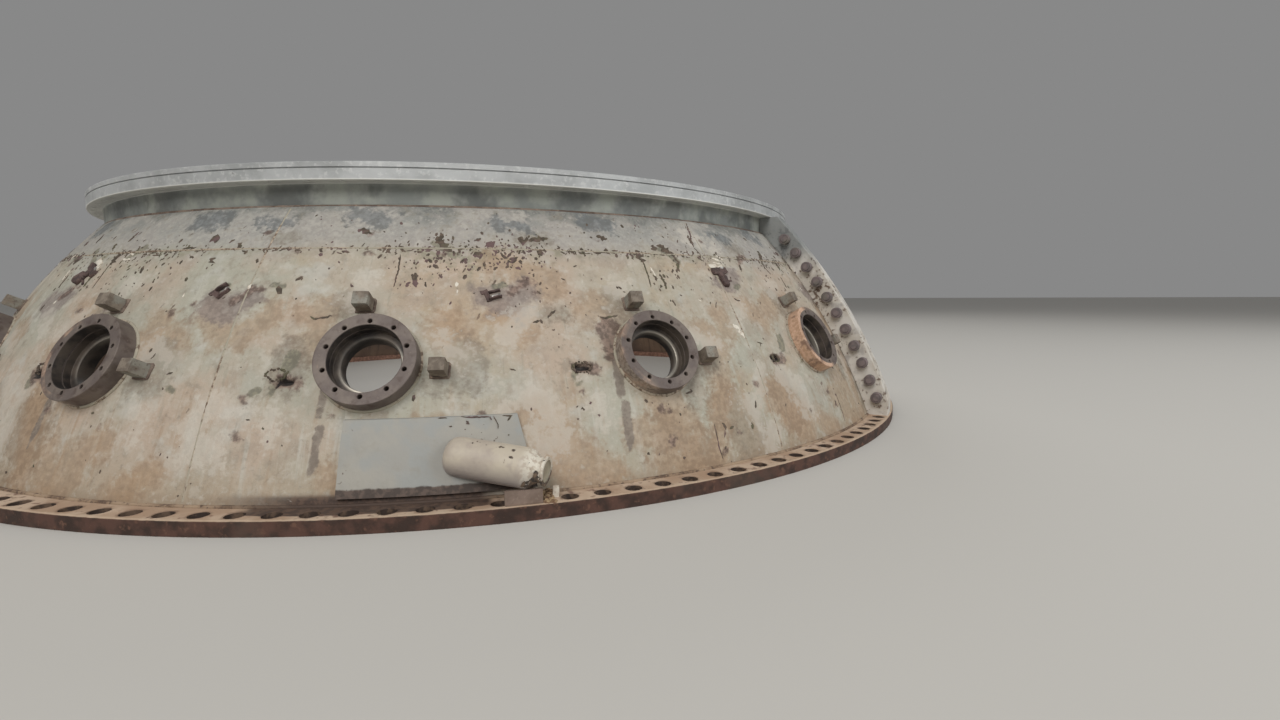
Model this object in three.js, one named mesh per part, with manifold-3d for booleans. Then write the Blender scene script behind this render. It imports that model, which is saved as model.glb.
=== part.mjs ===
// Outer guide-vane ring of a bulb turbine, standing on its large flange.
// Millimetres. +Z runs up the ring's axis, the origin is at the centre of the large flange's underside,
// and the two halves of the ring meet on the plane Y = 0. "Front" is the half at negative Y.
import * as THREE from "three";
import { mergeVertices } from "three/addons/utils/BufferGeometryUtils.js";
import Module from "manifold-3d";

const wasm = await Module();
wasm.setup();

// Driving dimensions
const PORT_COUNT = 16;
const SHELL_RADIUS = 4570;
const SHELL_THICKNESS = 70;
const SHELL_CENTRE_Z = -1460;
const PORT_LATITUDE = 28.68;
const FLANGE_RADIUS = 4480;
const FLANGE_BORE_RADIUS = 4180;
const FLANGE_THICKNESS = 75;
const SEAM_HEIGHT = 1365;
const SHELL_TOP = 1634;
const NECK_RADIUS = 3330;
const NECK_BORE_RADIUS = 3240;
const THROAT_RADIUS = 3200;
const TOP_FLANGE_RADIUS = 3430;
const TOP_FLANGE_UNDERSIDE = 1781;
const TOP_FLANGE_GROOVE = { low: 1850, high: 1858, depth: 12 };
const RING_HEIGHT = 1890;
const BOSS = { radius: 254, height: 87, bore: 187, boreDepth: 95, ledge: 151, inside: 20 };
const BLOCK = { width: 78, depth: 76, offset: 352, angles: [106, -7], sunk: 60 };
const JOINT = { height: 195, thickness: 95, reach: 4465 };
const NUT = { across: 90, facets: 12, height: 62, rooted: 20, above: 115 };
const NUT_ROW = { count: 11, first: 21.1, pitch: 1.93 };
const PAD = { thickness: 25, low: 115, high: 470, from: -57.5, to: -45.8 };
const PIPE = { radius: 102, body: 440, sunk: 170, facets: 24 };
const PIPE_END_PIECE = { neck: 62, neckFrom: 492, disc: 72, discFrom: 518, end: 532 };
const PIPE_START = new THREE.Vector3(2680, -3262, 287);
const PIPE_END = new THREE.Vector3(3190, -3115, 232);
const SADDLE = { width: 184, thickness: 25, azimuth: -45.8, radius: 4447 };

// Facets and clearances
const GAP = 0.3;
const RING_FACETS = 64;
const PORT_FACETS = 20;
const LOWER_STEPS = 4;
const UPPER_STEPS = 2;
const FAR = 7000;

const PORT_PITCH = 360 / PORT_COUNT;
const SHELL_INSIDE = SHELL_RADIUS - SHELL_THICKNESS;
const rad = THREE.MathUtils.degToRad;

// Colours of the paint and of the bare metal
const material = (color, roughness, metalness) =>
  new THREE.MeshStandardMaterial({ color, roughness, metalness });
const AGED_PAINT = material(0xb9b4a6, 0.7, 0.1);
const WORN_PAINT = material(0xa9a8a0, 0.65, 0.15);
const RUSTY_FLANGE = material(0x6f5044, 0.85, 0.3);
const GREY_FLANGE = material(0x9a9b9a, 0.45, 0.6);
const BOSS_METAL = material(0x6e6260, 0.6, 0.6);
const BLUE_GREY_PAINT = material(0x98a0a3, 0.6, 0.1);

// Closed geometry to a solid that can be cut, and back
function solid(geometry) {
  geometry.deleteAttribute("normal");
  geometry.deleteAttribute("uv");
  const merged = mergeVertices(geometry, 1e-3);
  const triVerts = new Uint32Array(merged.index.array);
  const vertProperties = new Float32Array(merged.attributes.position.array);
  return new wasm.Manifold(new wasm.Mesh({ numProp: 3, vertProperties, triVerts }));
}

function geometryOf(cut) {
  const mesh = cut.getMesh();
  const geometry = new THREE.BufferGeometry();
  geometry.setAttribute("position", new THREE.BufferAttribute(new Float32Array(mesh.vertProperties), 3));
  geometry.setIndex(new THREE.BufferAttribute(new Uint32Array(mesh.triVerts), 1));
  return geometry;
}

const addAll = (solids) => solids.reduce((sum, one) => sum.add(one));

// A profile of [radius, height] pairs turned about the Z axis. It runs anticlockwise, radius to the right.
function turned(profile, facets) {
  const points = [...profile, profile[0]].map(([radius, height]) => new THREE.Vector2(radius, height));
  return solid(new THREE.LatheGeometry(points, facets).rotateX(Math.PI / 2));
}

// Points of a meridian of the shell, from one height to another
function meridian(radius, from, to, steps) {
  const low = Math.asin((from - SHELL_CENTRE_Z) / radius);
  const high = Math.asin((to - SHELL_CENTRE_Z) / radius);
  return Array.from({ length: steps + 1 }, (_, i) => {
    const latitude = low + ((high - low) * i) / steps;
    return [radius * Math.cos(latitude), SHELL_CENTRE_Z + radius * Math.sin(latitude)];
  });
}

// A course of the shell, from one height to another
function shellRing(low, high, steps) {
  const outside = meridian(SHELL_RADIUS, low, high, steps);
  return turned([...outside, ...meridian(SHELL_INSIDE, high, low, steps)], RING_FACETS);
}

// A flat outline drawn in X and Y, given a thickness along Z
function plate(points, thickness) {
  const shape = new THREE.Shape(points.map(([x, y]) => new THREE.Vector2(x, y)));
  return new THREE.ExtrudeGeometry(shape, { depth: thickness, bevelEnabled: false });
}

// Everything between two azimuths, in degrees, with half a gap left free at each
function sector(from, to) {
  const edge = THREE.MathUtils.radToDeg(GAP / 2 / SHELL_RADIUS);
  const azimuths = [from + edge, (from + to) / 2, to - edge].map(rad);
  const outline = [[0, 0], ...azimuths.map((a) => [FAR * Math.cos(a), FAR * Math.sin(a)])];
  return solid(plate(outline, FAR).translate(0, 0, -FAR / 2));
}

function box(low, high) {
  const size = new THREE.Vector3().subVectors(high, low);
  const centre = new THREE.Vector3().addVectors(low, high).multiplyScalar(0.5);
  return new THREE.BoxGeometry(size.x, size.y, size.z).translate(centre.x, centre.y, centre.z);
}

const group = new THREE.Group();

function place(name, cut, finish) {
  const mesh = new THREE.Mesh(geometryOf(cut), finish);
  mesh.name = name;
  group.add(mesh);
}

// The ring's halves, and a half turn that carries a piece of the front half to the back
const HALVES = { front: sector(-180, 0), back: sector(0, 180) };
const turnedTo = (cut, half) => (half === "front" ? cut : cut.rotate([0, 0, 180]));

// What the shell fills when it is swollen by a lift, up to the top of the ring, to trim what sits on it
function envelope(lift) {
  const scale = (SHELL_RADIUS + lift) / SHELL_RADIUS;
  const lifted = [
    ...meridian(SHELL_RADIUS, 0, FLANGE_THICKNESS, 1).slice(0, 1),
    ...meridian(SHELL_RADIUS, FLANGE_THICKNESS + GAP, SEAM_HEIGHT, LOWER_STEPS),
    ...meridian(SHELL_RADIUS, SEAM_HEIGHT, SHELL_TOP, UPPER_STEPS).slice(1),
  ].map(([radius, height]) => [radius * scale, SHELL_CENTRE_Z + (height - SHELL_CENTRE_Z) * scale]);
  const neck = NECK_RADIUS + GAP;
  const neckFoot = [neck, lifted[lifted.length - 1][1]];
  return turned([[0, 0], ...lifted, neckFoot, [neck, RING_HEIGHT], [0, RING_HEIGHT]], RING_FACETS);
}

// Large flange, one half ring for each half of the shell
const lowerFlange = turned(
  [
    [FLANGE_BORE_RADIUS, 0],
    [FLANGE_RADIUS, 0],
    [FLANGE_RADIUS, FLANGE_THICKNESS],
    [FLANGE_BORE_RADIUS, FLANGE_THICKNESS],
  ],
  RING_FACETS,
);

// Neck and small flange above the shell, with the groove round the flange's edge
const groove = TOP_FLANGE_GROOVE;
const topFlange = turned(
  [
    [NECK_BORE_RADIUS, SHELL_TOP + GAP],
    [NECK_RADIUS, SHELL_TOP + GAP],
    [NECK_RADIUS, TOP_FLANGE_UNDERSIDE],
    [TOP_FLANGE_RADIUS, TOP_FLANGE_UNDERSIDE],
    [TOP_FLANGE_RADIUS, groove.low],
    [TOP_FLANGE_RADIUS - groove.depth, groove.low],
    [TOP_FLANGE_RADIUS - groove.depth, groove.high],
    [TOP_FLANGE_RADIUS, groove.high],
    [TOP_FLANGE_RADIUS, RING_HEIGHT],
    [THROAT_RADIUS, RING_HEIGHT],
    [THROAT_RADIUS, TOP_FLANGE_UNDERSIDE],
    [NECK_BORE_RADIUS, TOP_FLANGE_UNDERSIDE],
  ],
  RING_FACETS,
);

// The shell's lower course carries the ports, and the narrow upper course closes it below the neck
const lowerCourse = shellRing(FLANGE_THICKNESS + GAP, SEAM_HEIGHT, LOWER_STEPS);
const upperCourse = shellRing(SEAM_HEIGHT + GAP, SHELL_TOP, UPPER_STEPS);

for (const [half, side] of Object.entries(HALVES)) {
  place(`lower_flange_${half}`, lowerFlange.intersect(side), RUSTY_FLANGE);
  place(`upper_course_${half}`, upperCourse.intersect(side), WORN_PAINT);
  place(`top_flange_${half}`, topFlange.intersect(side), GREY_FLANGE);
}

// A port's own frame: origin at the shell's centre, Z out through the port, X along the ring
function portFrame(azimuth) {
  const a = rad(azimuth);
  const latitude = rad(PORT_LATITUDE);
  const along = new THREE.Vector3(-Math.sin(a), Math.cos(a), 0);
  const level = Math.cos(latitude);
  const out = new THREE.Vector3(level * Math.cos(a), level * Math.sin(a), Math.sin(latitude));
  const up = new THREE.Vector3().crossVectors(out, along);
  return new THREE.Matrix4().makeBasis(along, up, out).setPosition(0, 0, SHELL_CENTRE_Z);
}

const inFrame = (cut, frame) => cut.transform(frame.toArray());
const PORTS = Array.from({ length: PORT_COUNT }, (_, i) => PORT_PITCH * (i + 0.5) - 180);

// Hole for the boss through the shell, and the boss: a turned ring with a ledge inside its bore
const portHole = turned(
  [
    [0, SHELL_INSIDE - 200],
    [BOSS.radius + GAP, SHELL_INSIDE - 200],
    [BOSS.radius + GAP, SHELL_RADIUS + 200],
    [0, SHELL_RADIUS + 200],
  ],
  PORT_FACETS,
);
const bossFace = SHELL_RADIUS + BOSS.height;
const bossProfile = [
  [BOSS.ledge, SHELL_INSIDE - BOSS.inside],
  [BOSS.radius, SHELL_INSIDE - BOSS.inside],
  [BOSS.radius, bossFace],
  [BOSS.bore, bossFace],
  [BOSS.bore, bossFace - BOSS.boreDepth],
  [BOSS.ledge, bossFace - BOSS.boreDepth],
];
const boss = turned(bossProfile, PORT_FACETS);

PORTS.forEach((azimuth, i) => {
  place(`stem_boss_${String(i + 1).padStart(2, "0")}`, inFrame(boss, portFrame(azimuth)), BOSS_METAL);
});

// Square block welded to the shell beside a port
const halfWidth = BLOCK.width / 2;
const halfDepth = BLOCK.depth / 2;

function portBlock(azimuth, angle) {
  const x = BLOCK.offset * Math.cos(rad(angle));
  const y = BLOCK.offset * Math.sin(rad(angle));
  const low = new THREE.Vector3(x - halfWidth, y - halfDepth, SHELL_RADIUS - BLOCK.sunk);
  const high = new THREE.Vector3(x + halfWidth, y + halfDepth, bossFace);
  return inFrame(solid(box(low, high)), portFrame(azimuth));
}

// Plates of the lower course, two ports to a plate and one beside each joint, with their blocks welded on
const holes = PORTS.map((azimuth) => inFrame(portHole, portFrame(azimuth)));
const blocks = PORTS.flatMap((azimuth) => BLOCK.angles.map((angle) => portBlock(azimuth, angle)));
const courseWithPorts = lowerCourse.subtract(addAll(holes)).add(addAll(blocks));
const PLATE_EDGES = [-180, -157.5, -112.5, -67.5, -22.5, 0, 22.5, 67.5, 112.5, 157.5, 180];
for (let i = 0; i < PLATE_EDGES.length - 1; i += 1) {
  const piece = courseWithPorts.intersect(sector(PLATE_EDGES[i], PLATE_EDGES[i + 1]));
  place(`shell_plate_${String(i + 1).padStart(2, "0")}`, piece, AGED_PAINT);
}

// Joint flange standing on the shell along the joint, drawn in radius and height, with its row of nuts
const shellEnvelope = envelope(GAP);

function jointNuts() {
  const nuts = Array.from({ length: NUT_ROW.count }, (_, i) => {
    const latitude = rad(NUT_ROW.first + NUT_ROW.pitch * i);
    const reach = SHELL_RADIUS + NUT.above;
    const radius = NUT.across / 2;
    const nut = new THREE.CylinderGeometry(radius, radius, NUT.height + NUT.rooted, NUT.facets);
    const offset = GAP / 2 + JOINT.thickness + (NUT.height - NUT.rooted) / 2;
    nut.translate(reach * Math.cos(latitude), -offset, SHELL_CENTRE_Z + reach * Math.sin(latitude));
    return solid(nut);
  });
  return addAll(nuts);
}

function jointPlate() {
  const top = TOP_FLANGE_UNDERSIDE - GAP;
  const rim = meridian(SHELL_RADIUS + JOINT.height, FLANGE_THICKNESS + GAP, SHELL_TOP + 115, 12);
  const edge = rim.map(([radius, height]) => [Math.min(radius, JOINT.reach), height]);
  const last = edge[edge.length - 1][0];
  const inner = [
    [last - 30, top],
    [NECK_RADIUS - 60, top],
    [NECK_RADIUS - 60, 1200],
    [3600, FLANGE_THICKNESS + GAP],
  ];
  const upright = plate([...edge, ...inner], JOINT.thickness).rotateX(Math.PI / 2);
  return solid(upright.translate(0, -GAP / 2, 0)).subtract(shellEnvelope);
}

const frontJoint = jointPlate().add(jointNuts());
const backJoint = frontJoint.mirror([0, 1, 0]);
place("joint_flange_east_front", frontJoint, WORN_PAINT);
place("joint_flange_east_back", backJoint, WORN_PAINT);
place("joint_flange_west_front", backJoint.rotate([0, 0, 180]), WORN_PAINT);
place("joint_flange_west_back", frontJoint.rotate([0, 0, 180]), WORN_PAINT);

// Blue-grey plate low on the shell, the thick pipe stub that leaves it, and the saddle under the stub
const padSkin = envelope(PAD.thickness).subtract(shellEnvelope).intersect(sector(PAD.from, PAD.to));
const padBand = box(new THREE.Vector3(-FAR, -FAR, PAD.low), new THREE.Vector3(FAR, FAR, PAD.high));
const sidePad = padSkin.intersect(solid(padBand));

const pipeAxis = new THREE.Vector3().subVectors(PIPE_END, PIPE_START).normalize();
const pipeTurn = new THREE.Quaternion().setFromUnitVectors(new THREE.Vector3(0, 0, 1), pipeAxis);
const pipeFrame = new THREE.Matrix4().compose(PIPE_START, pipeTurn, new THREE.Vector3(1, 1, 1));
const pipeProfile = [
  [0, -PIPE.sunk],
  [PIPE.radius, -PIPE.sunk],
  [PIPE.radius, PIPE.body],
  [PIPE_END_PIECE.neck, PIPE_END_PIECE.neckFrom],
  [PIPE_END_PIECE.neck, PIPE_END_PIECE.discFrom],
  [PIPE_END_PIECE.disc, PIPE_END_PIECE.discFrom],
  [PIPE_END_PIECE.disc, PIPE_END_PIECE.end],
  [0, PIPE_END_PIECE.end],
];
const padEnvelope = envelope(PAD.thickness + GAP);
const pipeStub = inFrame(turned(pipeProfile, PIPE.facets), pipeFrame).subtract(padEnvelope);
const roomRadius = PIPE.radius + GAP;
const roomProfile = [[0, -50], [roomRadius, -50], [roomRadius, 560], [0, 560]];
const pipeRoom = inFrame(turned(roomProfile, PIPE.facets), pipeFrame);

const saddleBox = box(
  new THREE.Vector3(SADDLE.radius - SADDLE.thickness / 2, -SADDLE.width / 2, FLANGE_THICKNESS + GAP),
  new THREE.Vector3(SADDLE.radius + SADDLE.thickness / 2, SADDLE.width / 2, PIPE_END.z - 40),
);
const saddle = solid(saddleBox.rotateZ(rad(SADDLE.azimuth))).subtract(pipeRoom);

for (const half of Object.keys(HALVES)) {
  place(`side_pad_${half}`, turnedTo(sidePad, half), BLUE_GREY_PAINT);
  place(`pipe_stub_${half}`, turnedTo(pipeStub, half), AGED_PAINT);
  place(`pipe_saddle_${half}`, turnedTo(saddle, half), RUSTY_FLANGE);
}

export default group;
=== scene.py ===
import math
import bpy
import bmesh
import numpy as np
from mathutils import Matrix, Vector, noise


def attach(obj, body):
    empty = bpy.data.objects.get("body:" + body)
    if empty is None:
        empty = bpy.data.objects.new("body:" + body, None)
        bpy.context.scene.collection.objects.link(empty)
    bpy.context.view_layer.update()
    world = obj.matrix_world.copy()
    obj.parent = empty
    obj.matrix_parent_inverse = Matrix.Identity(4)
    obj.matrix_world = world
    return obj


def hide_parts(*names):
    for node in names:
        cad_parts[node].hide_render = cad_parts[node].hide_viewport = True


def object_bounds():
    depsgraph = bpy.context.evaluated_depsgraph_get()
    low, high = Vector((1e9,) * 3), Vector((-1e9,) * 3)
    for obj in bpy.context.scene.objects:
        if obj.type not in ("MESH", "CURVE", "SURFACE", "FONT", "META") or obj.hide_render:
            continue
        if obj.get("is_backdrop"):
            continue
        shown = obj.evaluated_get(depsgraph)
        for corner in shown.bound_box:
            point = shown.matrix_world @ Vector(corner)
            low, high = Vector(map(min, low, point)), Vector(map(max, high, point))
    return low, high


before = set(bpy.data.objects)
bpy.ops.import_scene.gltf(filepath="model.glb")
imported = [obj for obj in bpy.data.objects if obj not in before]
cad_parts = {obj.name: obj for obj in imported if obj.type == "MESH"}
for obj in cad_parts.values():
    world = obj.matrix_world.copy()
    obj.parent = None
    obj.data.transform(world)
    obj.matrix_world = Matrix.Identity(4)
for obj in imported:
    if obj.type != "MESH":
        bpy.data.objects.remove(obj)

cad_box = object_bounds()

# Camera, light and floor.
# The ring stands on a plain pale floor under soft light. The camera is held by hand, a metre over the
# large flange and a little under three metres from it, and looks past the ring's axis to its right.
CAMERA_AZIMUTH = -47.66
CAMERA_DISTANCE = 7.267
CAMERA_HEIGHT = 1.075
CAMERA_TURN = 14.495
CAMERA_PITCH = 6.1
CAMERA_ROLL = -0.22
FOCAL_PIXELS = 587.7
IMAGE_WIDTH = 1280
SENSOR = 36.0

stand = math.radians(CAMERA_AZIMUTH)
heading = math.radians(CAMERA_AZIMUTH + 180 - CAMERA_TURN)
pitch = math.radians(CAMERA_PITCH)
roll = math.radians(CAMERA_ROLL)
level = Vector((math.cos(heading), math.sin(heading), 0))
right = Vector((math.sin(heading), -math.cos(heading), 0))
forward = level * math.cos(pitch) - Vector((0, 0, 1)) * math.sin(pitch)
up = right.cross(forward)
right, up = right * math.cos(roll) + up * math.sin(roll), up * math.cos(roll) - right * math.sin(roll)


def stood(name, data):
    """Puts a camera, a lamp or a mesh into the scene under this name."""
    obj = bpy.data.objects.new(name, data)
    bpy.context.scene.collection.objects.link(obj)
    return obj


camera_data = bpy.data.cameras.new("camera")
camera_data.sensor_width = SENSOR
camera_data.lens = FOCAL_PIXELS / IMAGE_WIDTH * SENSOR
camera_data.clip_end = 2000
camera = stood("camera", camera_data)
place = Matrix((right, up, -forward)).transposed().to_4x4()
place.translation = (CAMERA_DISTANCE * math.cos(stand), CAMERA_DISTANCE * math.sin(stand), CAMERA_HEIGHT)
camera.matrix_world = place
bpy.context.scene.camera = camera
bpy.context.scene.view_settings.view_transform = "Standard"
LAMPS_AIM = Vector((0, 0, 0.8))


def lamp(name, azimuth, distance, height, size, power, colour):
    data = bpy.data.lights.new(name, "AREA")
    data.shape = "DISK"
    data.size = size
    data.energy = power
    data.color = colour
    turn = math.radians(azimuth)
    obj = stood(name, data)
    obj.location = Vector((distance * math.cos(turn), distance * math.sin(turn), height))
    obj.rotation_euler = (LAMPS_AIM - obj.location).to_track_quat("-Z", "Y").to_euler()


lamp("skylight", -70, 24, 20, 18, 4750, (1.0, 0.985, 0.96))
lamp("window", 5, 28, 14, 15, 2700, (0.96, 0.985, 1.0))
lamp("back_light", 130, 26, 18, 17, 2100, (1.0, 0.99, 0.97))

world = bpy.data.worlds.new("studio")
world.use_nodes = True
world.node_tree.nodes["Background"].inputs["Color"].default_value = (0.88, 0.88, 0.88, 1)
world.node_tree.nodes["Background"].inputs["Strength"].default_value = 0.28
bpy.context.scene.world = world


def linear(code):
    """Colour of a paint or metal, from its six-figure code."""
    parts = [int(code[i:i + 2], 16) / 255 for i in (1, 3, 5)]
    return tuple(c / 12.92 if c <= 0.04045 else ((c + 0.055) / 1.055) ** 2.4 for c in parts) + (1.0,)


def mesh_object(name, vertices, faces):
    data = bpy.data.meshes.new(name)
    data.from_pydata([tuple(v) for v in vertices], [], [tuple(f) for f in faces])
    data.validate()
    return stood(name, data)


FLOOR_REACH = 400.0
corners = [(x * FLOOR_REACH, y * FLOOR_REACH, 0) for x, y in ((-1, -1), (1, -1), (1, 1), (-1, 1))]
floor = mesh_object("floor", corners, [(0, 1, 2, 3)])
floor_paint = bpy.data.materials.new("floor_paint")
floor_paint.use_nodes = True
floor_paint.node_tree.nodes["Principled BSDF"].inputs["Base Color"].default_value = linear("#c9c6c0")
floor_paint.node_tree.nodes["Principled BSDF"].inputs["Roughness"].default_value = 0.85
floor.data.materials.append(floor_paint)
floor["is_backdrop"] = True

# Large flange.
# A machined ring 300 mm wide that bolts to the stay ring, in two halves. Its upper face keeps a pinkish
# primer, scuffed and dirty round the bolt holes, and the bare rim has rusted red-brown.
FLANGE_BORE, FLANGE_EDGE, FLANGE_TOP = 4.180, 4.480, 0.075
BOLT_CIRCLE, BOLT_HOLE = 4.400, 0.045
BOLTS_ROUND = 160
FLANGE_CHAMFER = 0.003
# Where painted shadow of the side pads and pipes, with soot, darkens the flange: azimuths and reach
SHADE_AND_SOOT_FROM, SHADE_AND_SOOT_TO, SHADE_AND_SOOT_EDGE = -66, -47.0, 4.435
HALVES = (("front", -180), ("back", 0))


def feed(node, key, value):
    """Sends a node, one of its outputs, a colour's code or a number into a node's input."""
    if isinstance(value, bpy.types.Node):
        value = value.outputs[0]
    if isinstance(value, bpy.types.NodeSocket):
        node.id_data.links.new(value, node.inputs[key])
    elif isinstance(value, str) and value.startswith("#"):
        node.inputs[key].default_value = linear(value)
    else:
        node.inputs[key].default_value = value


def wired(tree, kind, *wires, **settings):
    """A new node of a tree, with its settings and what is sent into its inputs."""
    node = tree.nodes.new(kind)
    for key, value in settings.items():
        setattr(node, key, value)
    for key, value in wires:
        feed(node, key, value)
    return node


class Finish:
    """Layers of paint, rust and dirt that make one finish, each over the ones before it."""

    def __init__(self, name, colour, roughness, metallic=0.0):
        self.material = bpy.data.materials.new(name)
        self.material.use_nodes = True
        self.tree = self.material.node_tree
        self.shader = self.tree.nodes["Principled BSDF"]
        self.shader.inputs["Roughness"].default_value = roughness
        self.shader.inputs["Metallic"].default_value = metallic
        self.place = self.add("ShaderNodeTexCoord").outputs["Object"]
        self.colour = colour

    def add(self, kind, *wires, **settings):
        return wired(self.tree, kind, *wires, **settings)

    def noise(self, size, detail=4.0, at=None, seed=0.0, rough=0.55):
        """Cloudy pattern from 0 to 1, with clouds about `size` metres across."""
        return self.add("ShaderNodeTexNoise", ("Vector", at or self.place), ("W", seed), ("Scale", 1 / size),
                        ("Detail", detail), ("Roughness", rough), noise_dimensions="4D")

    def cells(self, size, at):
        """Distance from scattered points, `size` metres apart, and a random number for each."""
        node = self.add("ShaderNodeTexVoronoi", ("Vector", at), ("Scale", 1 / size))
        return node.outputs["Distance"], self.add("ShaderNodeSeparateColor", (0, node.outputs["Color"]))

    def stretched(self, at, scale, turn=0.0):
        """The same place, stretched so that a pattern runs one way."""
        turned = self.add("ShaderNodeMapping", ("Vector", at), ("Rotation", (0, 0, turn)))
        return self.add("ShaderNodeMapping", ("Vector", turned), ("Scale", scale))

    def painted(self, name):
        """What the mesh carries under this name at each point."""
        return self.add("ShaderNodeAttribute", attribute_name=name).outputs["Fac"]

    def skin(self):
        """Distance along the ring and up the meridian, in metres."""
        return self.add("ShaderNodeAttribute", attribute_name="skin").outputs["Vector"]

    def height(self):
        return self.add("ShaderNodeSeparateXYZ", (0, self.place)).outputs["Z"]

    def from_axis(self):
        """Distance from the ring's axis."""
        level = self.stretched(self.place, (1, 1, 0))
        return self.add("ShaderNodeVectorMath", (0, level), operation="LENGTH").outputs["Value"]

    def between(self, value, low, high):
        return self.add("ShaderNodeMapRange", (0, value), (1, low), (2, high),
                        interpolation_type="SMOOTHSTEP")

    def math(self, kind, a, b):
        return self.add("ShaderNodeMath", (0, a), (1, b), operation=kind)

    def times(self, *parts):
        total = parts[0]
        for part in parts[1:]:
            total = self.math("MULTIPLY", total, part)
        return total

    def plus(self, *parts):
        """A sum, in which a pair is a pattern and how much of it is taken."""
        parts = [self.times(*part) if isinstance(part, tuple) else part for part in parts]
        total = parts[0]
        for part in parts[1:]:
            total = self.math("ADD", total, part)
        return total

    def uneven(self, pattern, amount):
        """The pattern as a rise and fall about nought."""
        return self.times(self.plus(pattern, -0.5), amount)

    def over(self, base, coat, amount):
        """One colour over another, by amount."""
        return self.add("ShaderNodeMix", (0, amount), (6, base), (7, coat), data_type="RGBA").outputs[2]

    def mixed(self, base, coat, pattern, low, high, *shares):
        """One colour over another where the pattern goes from low to high, thinned by each share."""
        return self.over(base, coat, self.times(self.between(pattern, low, high), *shares))

    def coat(self, colour, pattern, low, high, *shares):
        """Adds a coat where the pattern goes from low to high, thinned by each share."""
        self.colour = self.mixed(self.colour, colour, pattern, low, high, *shares)

    def layer(self, colour, amount):
        """Adds a coat by a known amount."""
        self.colour = self.over(self.colour, colour, amount)

    def finish(self, reliefs, roughness=None, metallic=None):
        """Wires the coats to the shader, and each relief by its depth in metres."""
        normal = None
        for height, depth in reliefs:
            before = [] if normal is None else [("Normal", normal)]
            normal = self.add("ShaderNodeBump", ("Height", height), ("Distance", depth), *before)
        inputs = {"Base Color": self.colour, "Roughness": roughness, "Metallic": metallic, "Normal": normal}
        for key, value in inputs.items():
            if value is not None:
                feed(self.shader, key, value)
        return self.material


def band(one, other):
    """Faces between two closed rows of points."""
    count = len(one)
    return [(one[k], one[(k + 1) % count], other[(k + 1) % count], other[k]) for k in range(count)]


def ring_bay(name, half_angle, cells, profile, blocks=(), hole=()):
    """One bay of a turned ring. The profile is a closed line of (radius, height), the blocks are the places
    on it where a hole's patch starts, and the hole is a row of (radius, depth). Two blocks share a hole."""
    angles = np.radians(np.linspace(-half_angle, half_angle, cells + 1))
    points = [(r * math.cos(a), r * math.sin(a), h) for r, h in profile for a in angles]
    wide = cells + 1
    half = blocks[0][1] if blocks else 0
    low, high = cells // 2 - half, cells // 2 + half
    faces = []
    for j in range(len(profile)):
        after = (j + 1) % len(profile)
        for i in range(cells):
            if not (low <= i < high and any(start <= j < start + 2 * half for start, _ in blocks)):
                faces.append((j * wide + i, after * wide + i, after * wide + i + 1, j * wide + i + 1))
    last_rows = []
    for start, _ in blocks:
        end = start + 2 * half
        previous = [j * wide + low for j in range(start, end)] + [end * wide + i for i in range(low, high)]
        previous += [j * wide + high for j in range(end, start, -1)]
        previous += [start * wide + i for i in range(high, low, -1)]
        count = len(previous)
        centre, height = profile[start + half]
        outwards = 1 if profile[start + half + 1][0] > centre else -1
        for radius, depth in hole:
            row = list(range(len(points), len(points) + count))
            for k in range(count):
                turn = math.radians(-135 + 360 / count * k)
                x = centre + outwards * radius * math.cos(turn)
                points.append((x, radius * math.sin(turn), height - outwards * depth))
            faces += band(previous, row)
            previous = row
        last_rows.append(previous)
    if len(last_rows) == 1:
        faces.append(tuple(last_rows[0]))
    elif last_rows:
        above, below = last_rows
        faces += band(above, [below[(count // 4 - k) % count] for k in range(count)])
    return mesh_object(name, points, faces)


def node_tree(name, sockets):
    """A Geometry Nodes tree with named inputs, and what its nodes are fed from."""
    tree = bpy.data.node_groups.new(name, "GeometryNodeTree")
    for label, kind in {"Geometry": "Geometry", **sockets, "Finish": "Material"}.items():
        tree.interface.new_socket(label, in_out="INPUT", socket_type=f"NodeSocket{kind}")
    tree.interface.new_socket("Geometry", in_out="OUTPUT", socket_type="NodeSocketGeometry")
    return tree, tree.nodes.new("NodeGroupInput").outputs


def ended(tree, shape, finish):
    """Gives the tree's shape its finish and sends it out."""
    coat = wired(tree, "GeometryNodeSetMaterial", ("Geometry", shape), ("Material", finish))
    wired(tree, "NodeGroupOutput", ("Geometry", coat))


bay_tree, given = node_tree("bays of a ring", {
    "Bays": "Int", "First": "Float", "Step": "Float", "Join": "Float"})
line = wired(bay_tree, "GeometryNodeMeshLine", ("Count", given["Bays"]), ("Offset", (0, 0, 0)))
index = wired(bay_tree, "GeometryNodeInputIndex")
turn = wired(bay_tree, "ShaderNodeMath", (0, index), (1, given["Step"]), (2, given["First"]),
             operation="MULTIPLY_ADD")
angles = wired(bay_tree, "ShaderNodeCombineXYZ", ("Z", turn))
copies = wired(bay_tree, "GeometryNodeInstanceOnPoints", ("Points", line), ("Instance", given["Geometry"]),
               ("Rotation", angles))
realized = wired(bay_tree, "GeometryNodeRealizeInstances", ("Geometry", copies))
merged = wired(bay_tree, "GeometryNodeMergeByDistance", ("Geometry", realized), ("Distance", given["Join"]))
ended(bay_tree, merged, given["Finish"])


def grown(piece, tree, values):
    """Runs a Geometry Nodes tree on a piece and keeps what comes out as its plain mesh."""
    modifier = piece.modifiers.new(tree.name, "NODES")
    modifier.node_group = tree
    for item in tree.interface.items_tree:
        if item.item_type == "SOCKET" and item.in_out == "INPUT" and item.name in values:
            modifier[item.identifier] = values[item.name]
    depsgraph = bpy.context.evaluated_depsgraph_get()
    data = bpy.data.meshes.new_from_object(piece.evaluated_get(depsgraph))
    data.name = piece.name
    data.materials.clear()
    data.materials.append(values["Finish"])
    data.polygons.foreach_set("material_index", np.zeros(len(data.polygons), np.int32))
    piece.modifiers.clear()
    piece.data = data
    return piece


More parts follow.
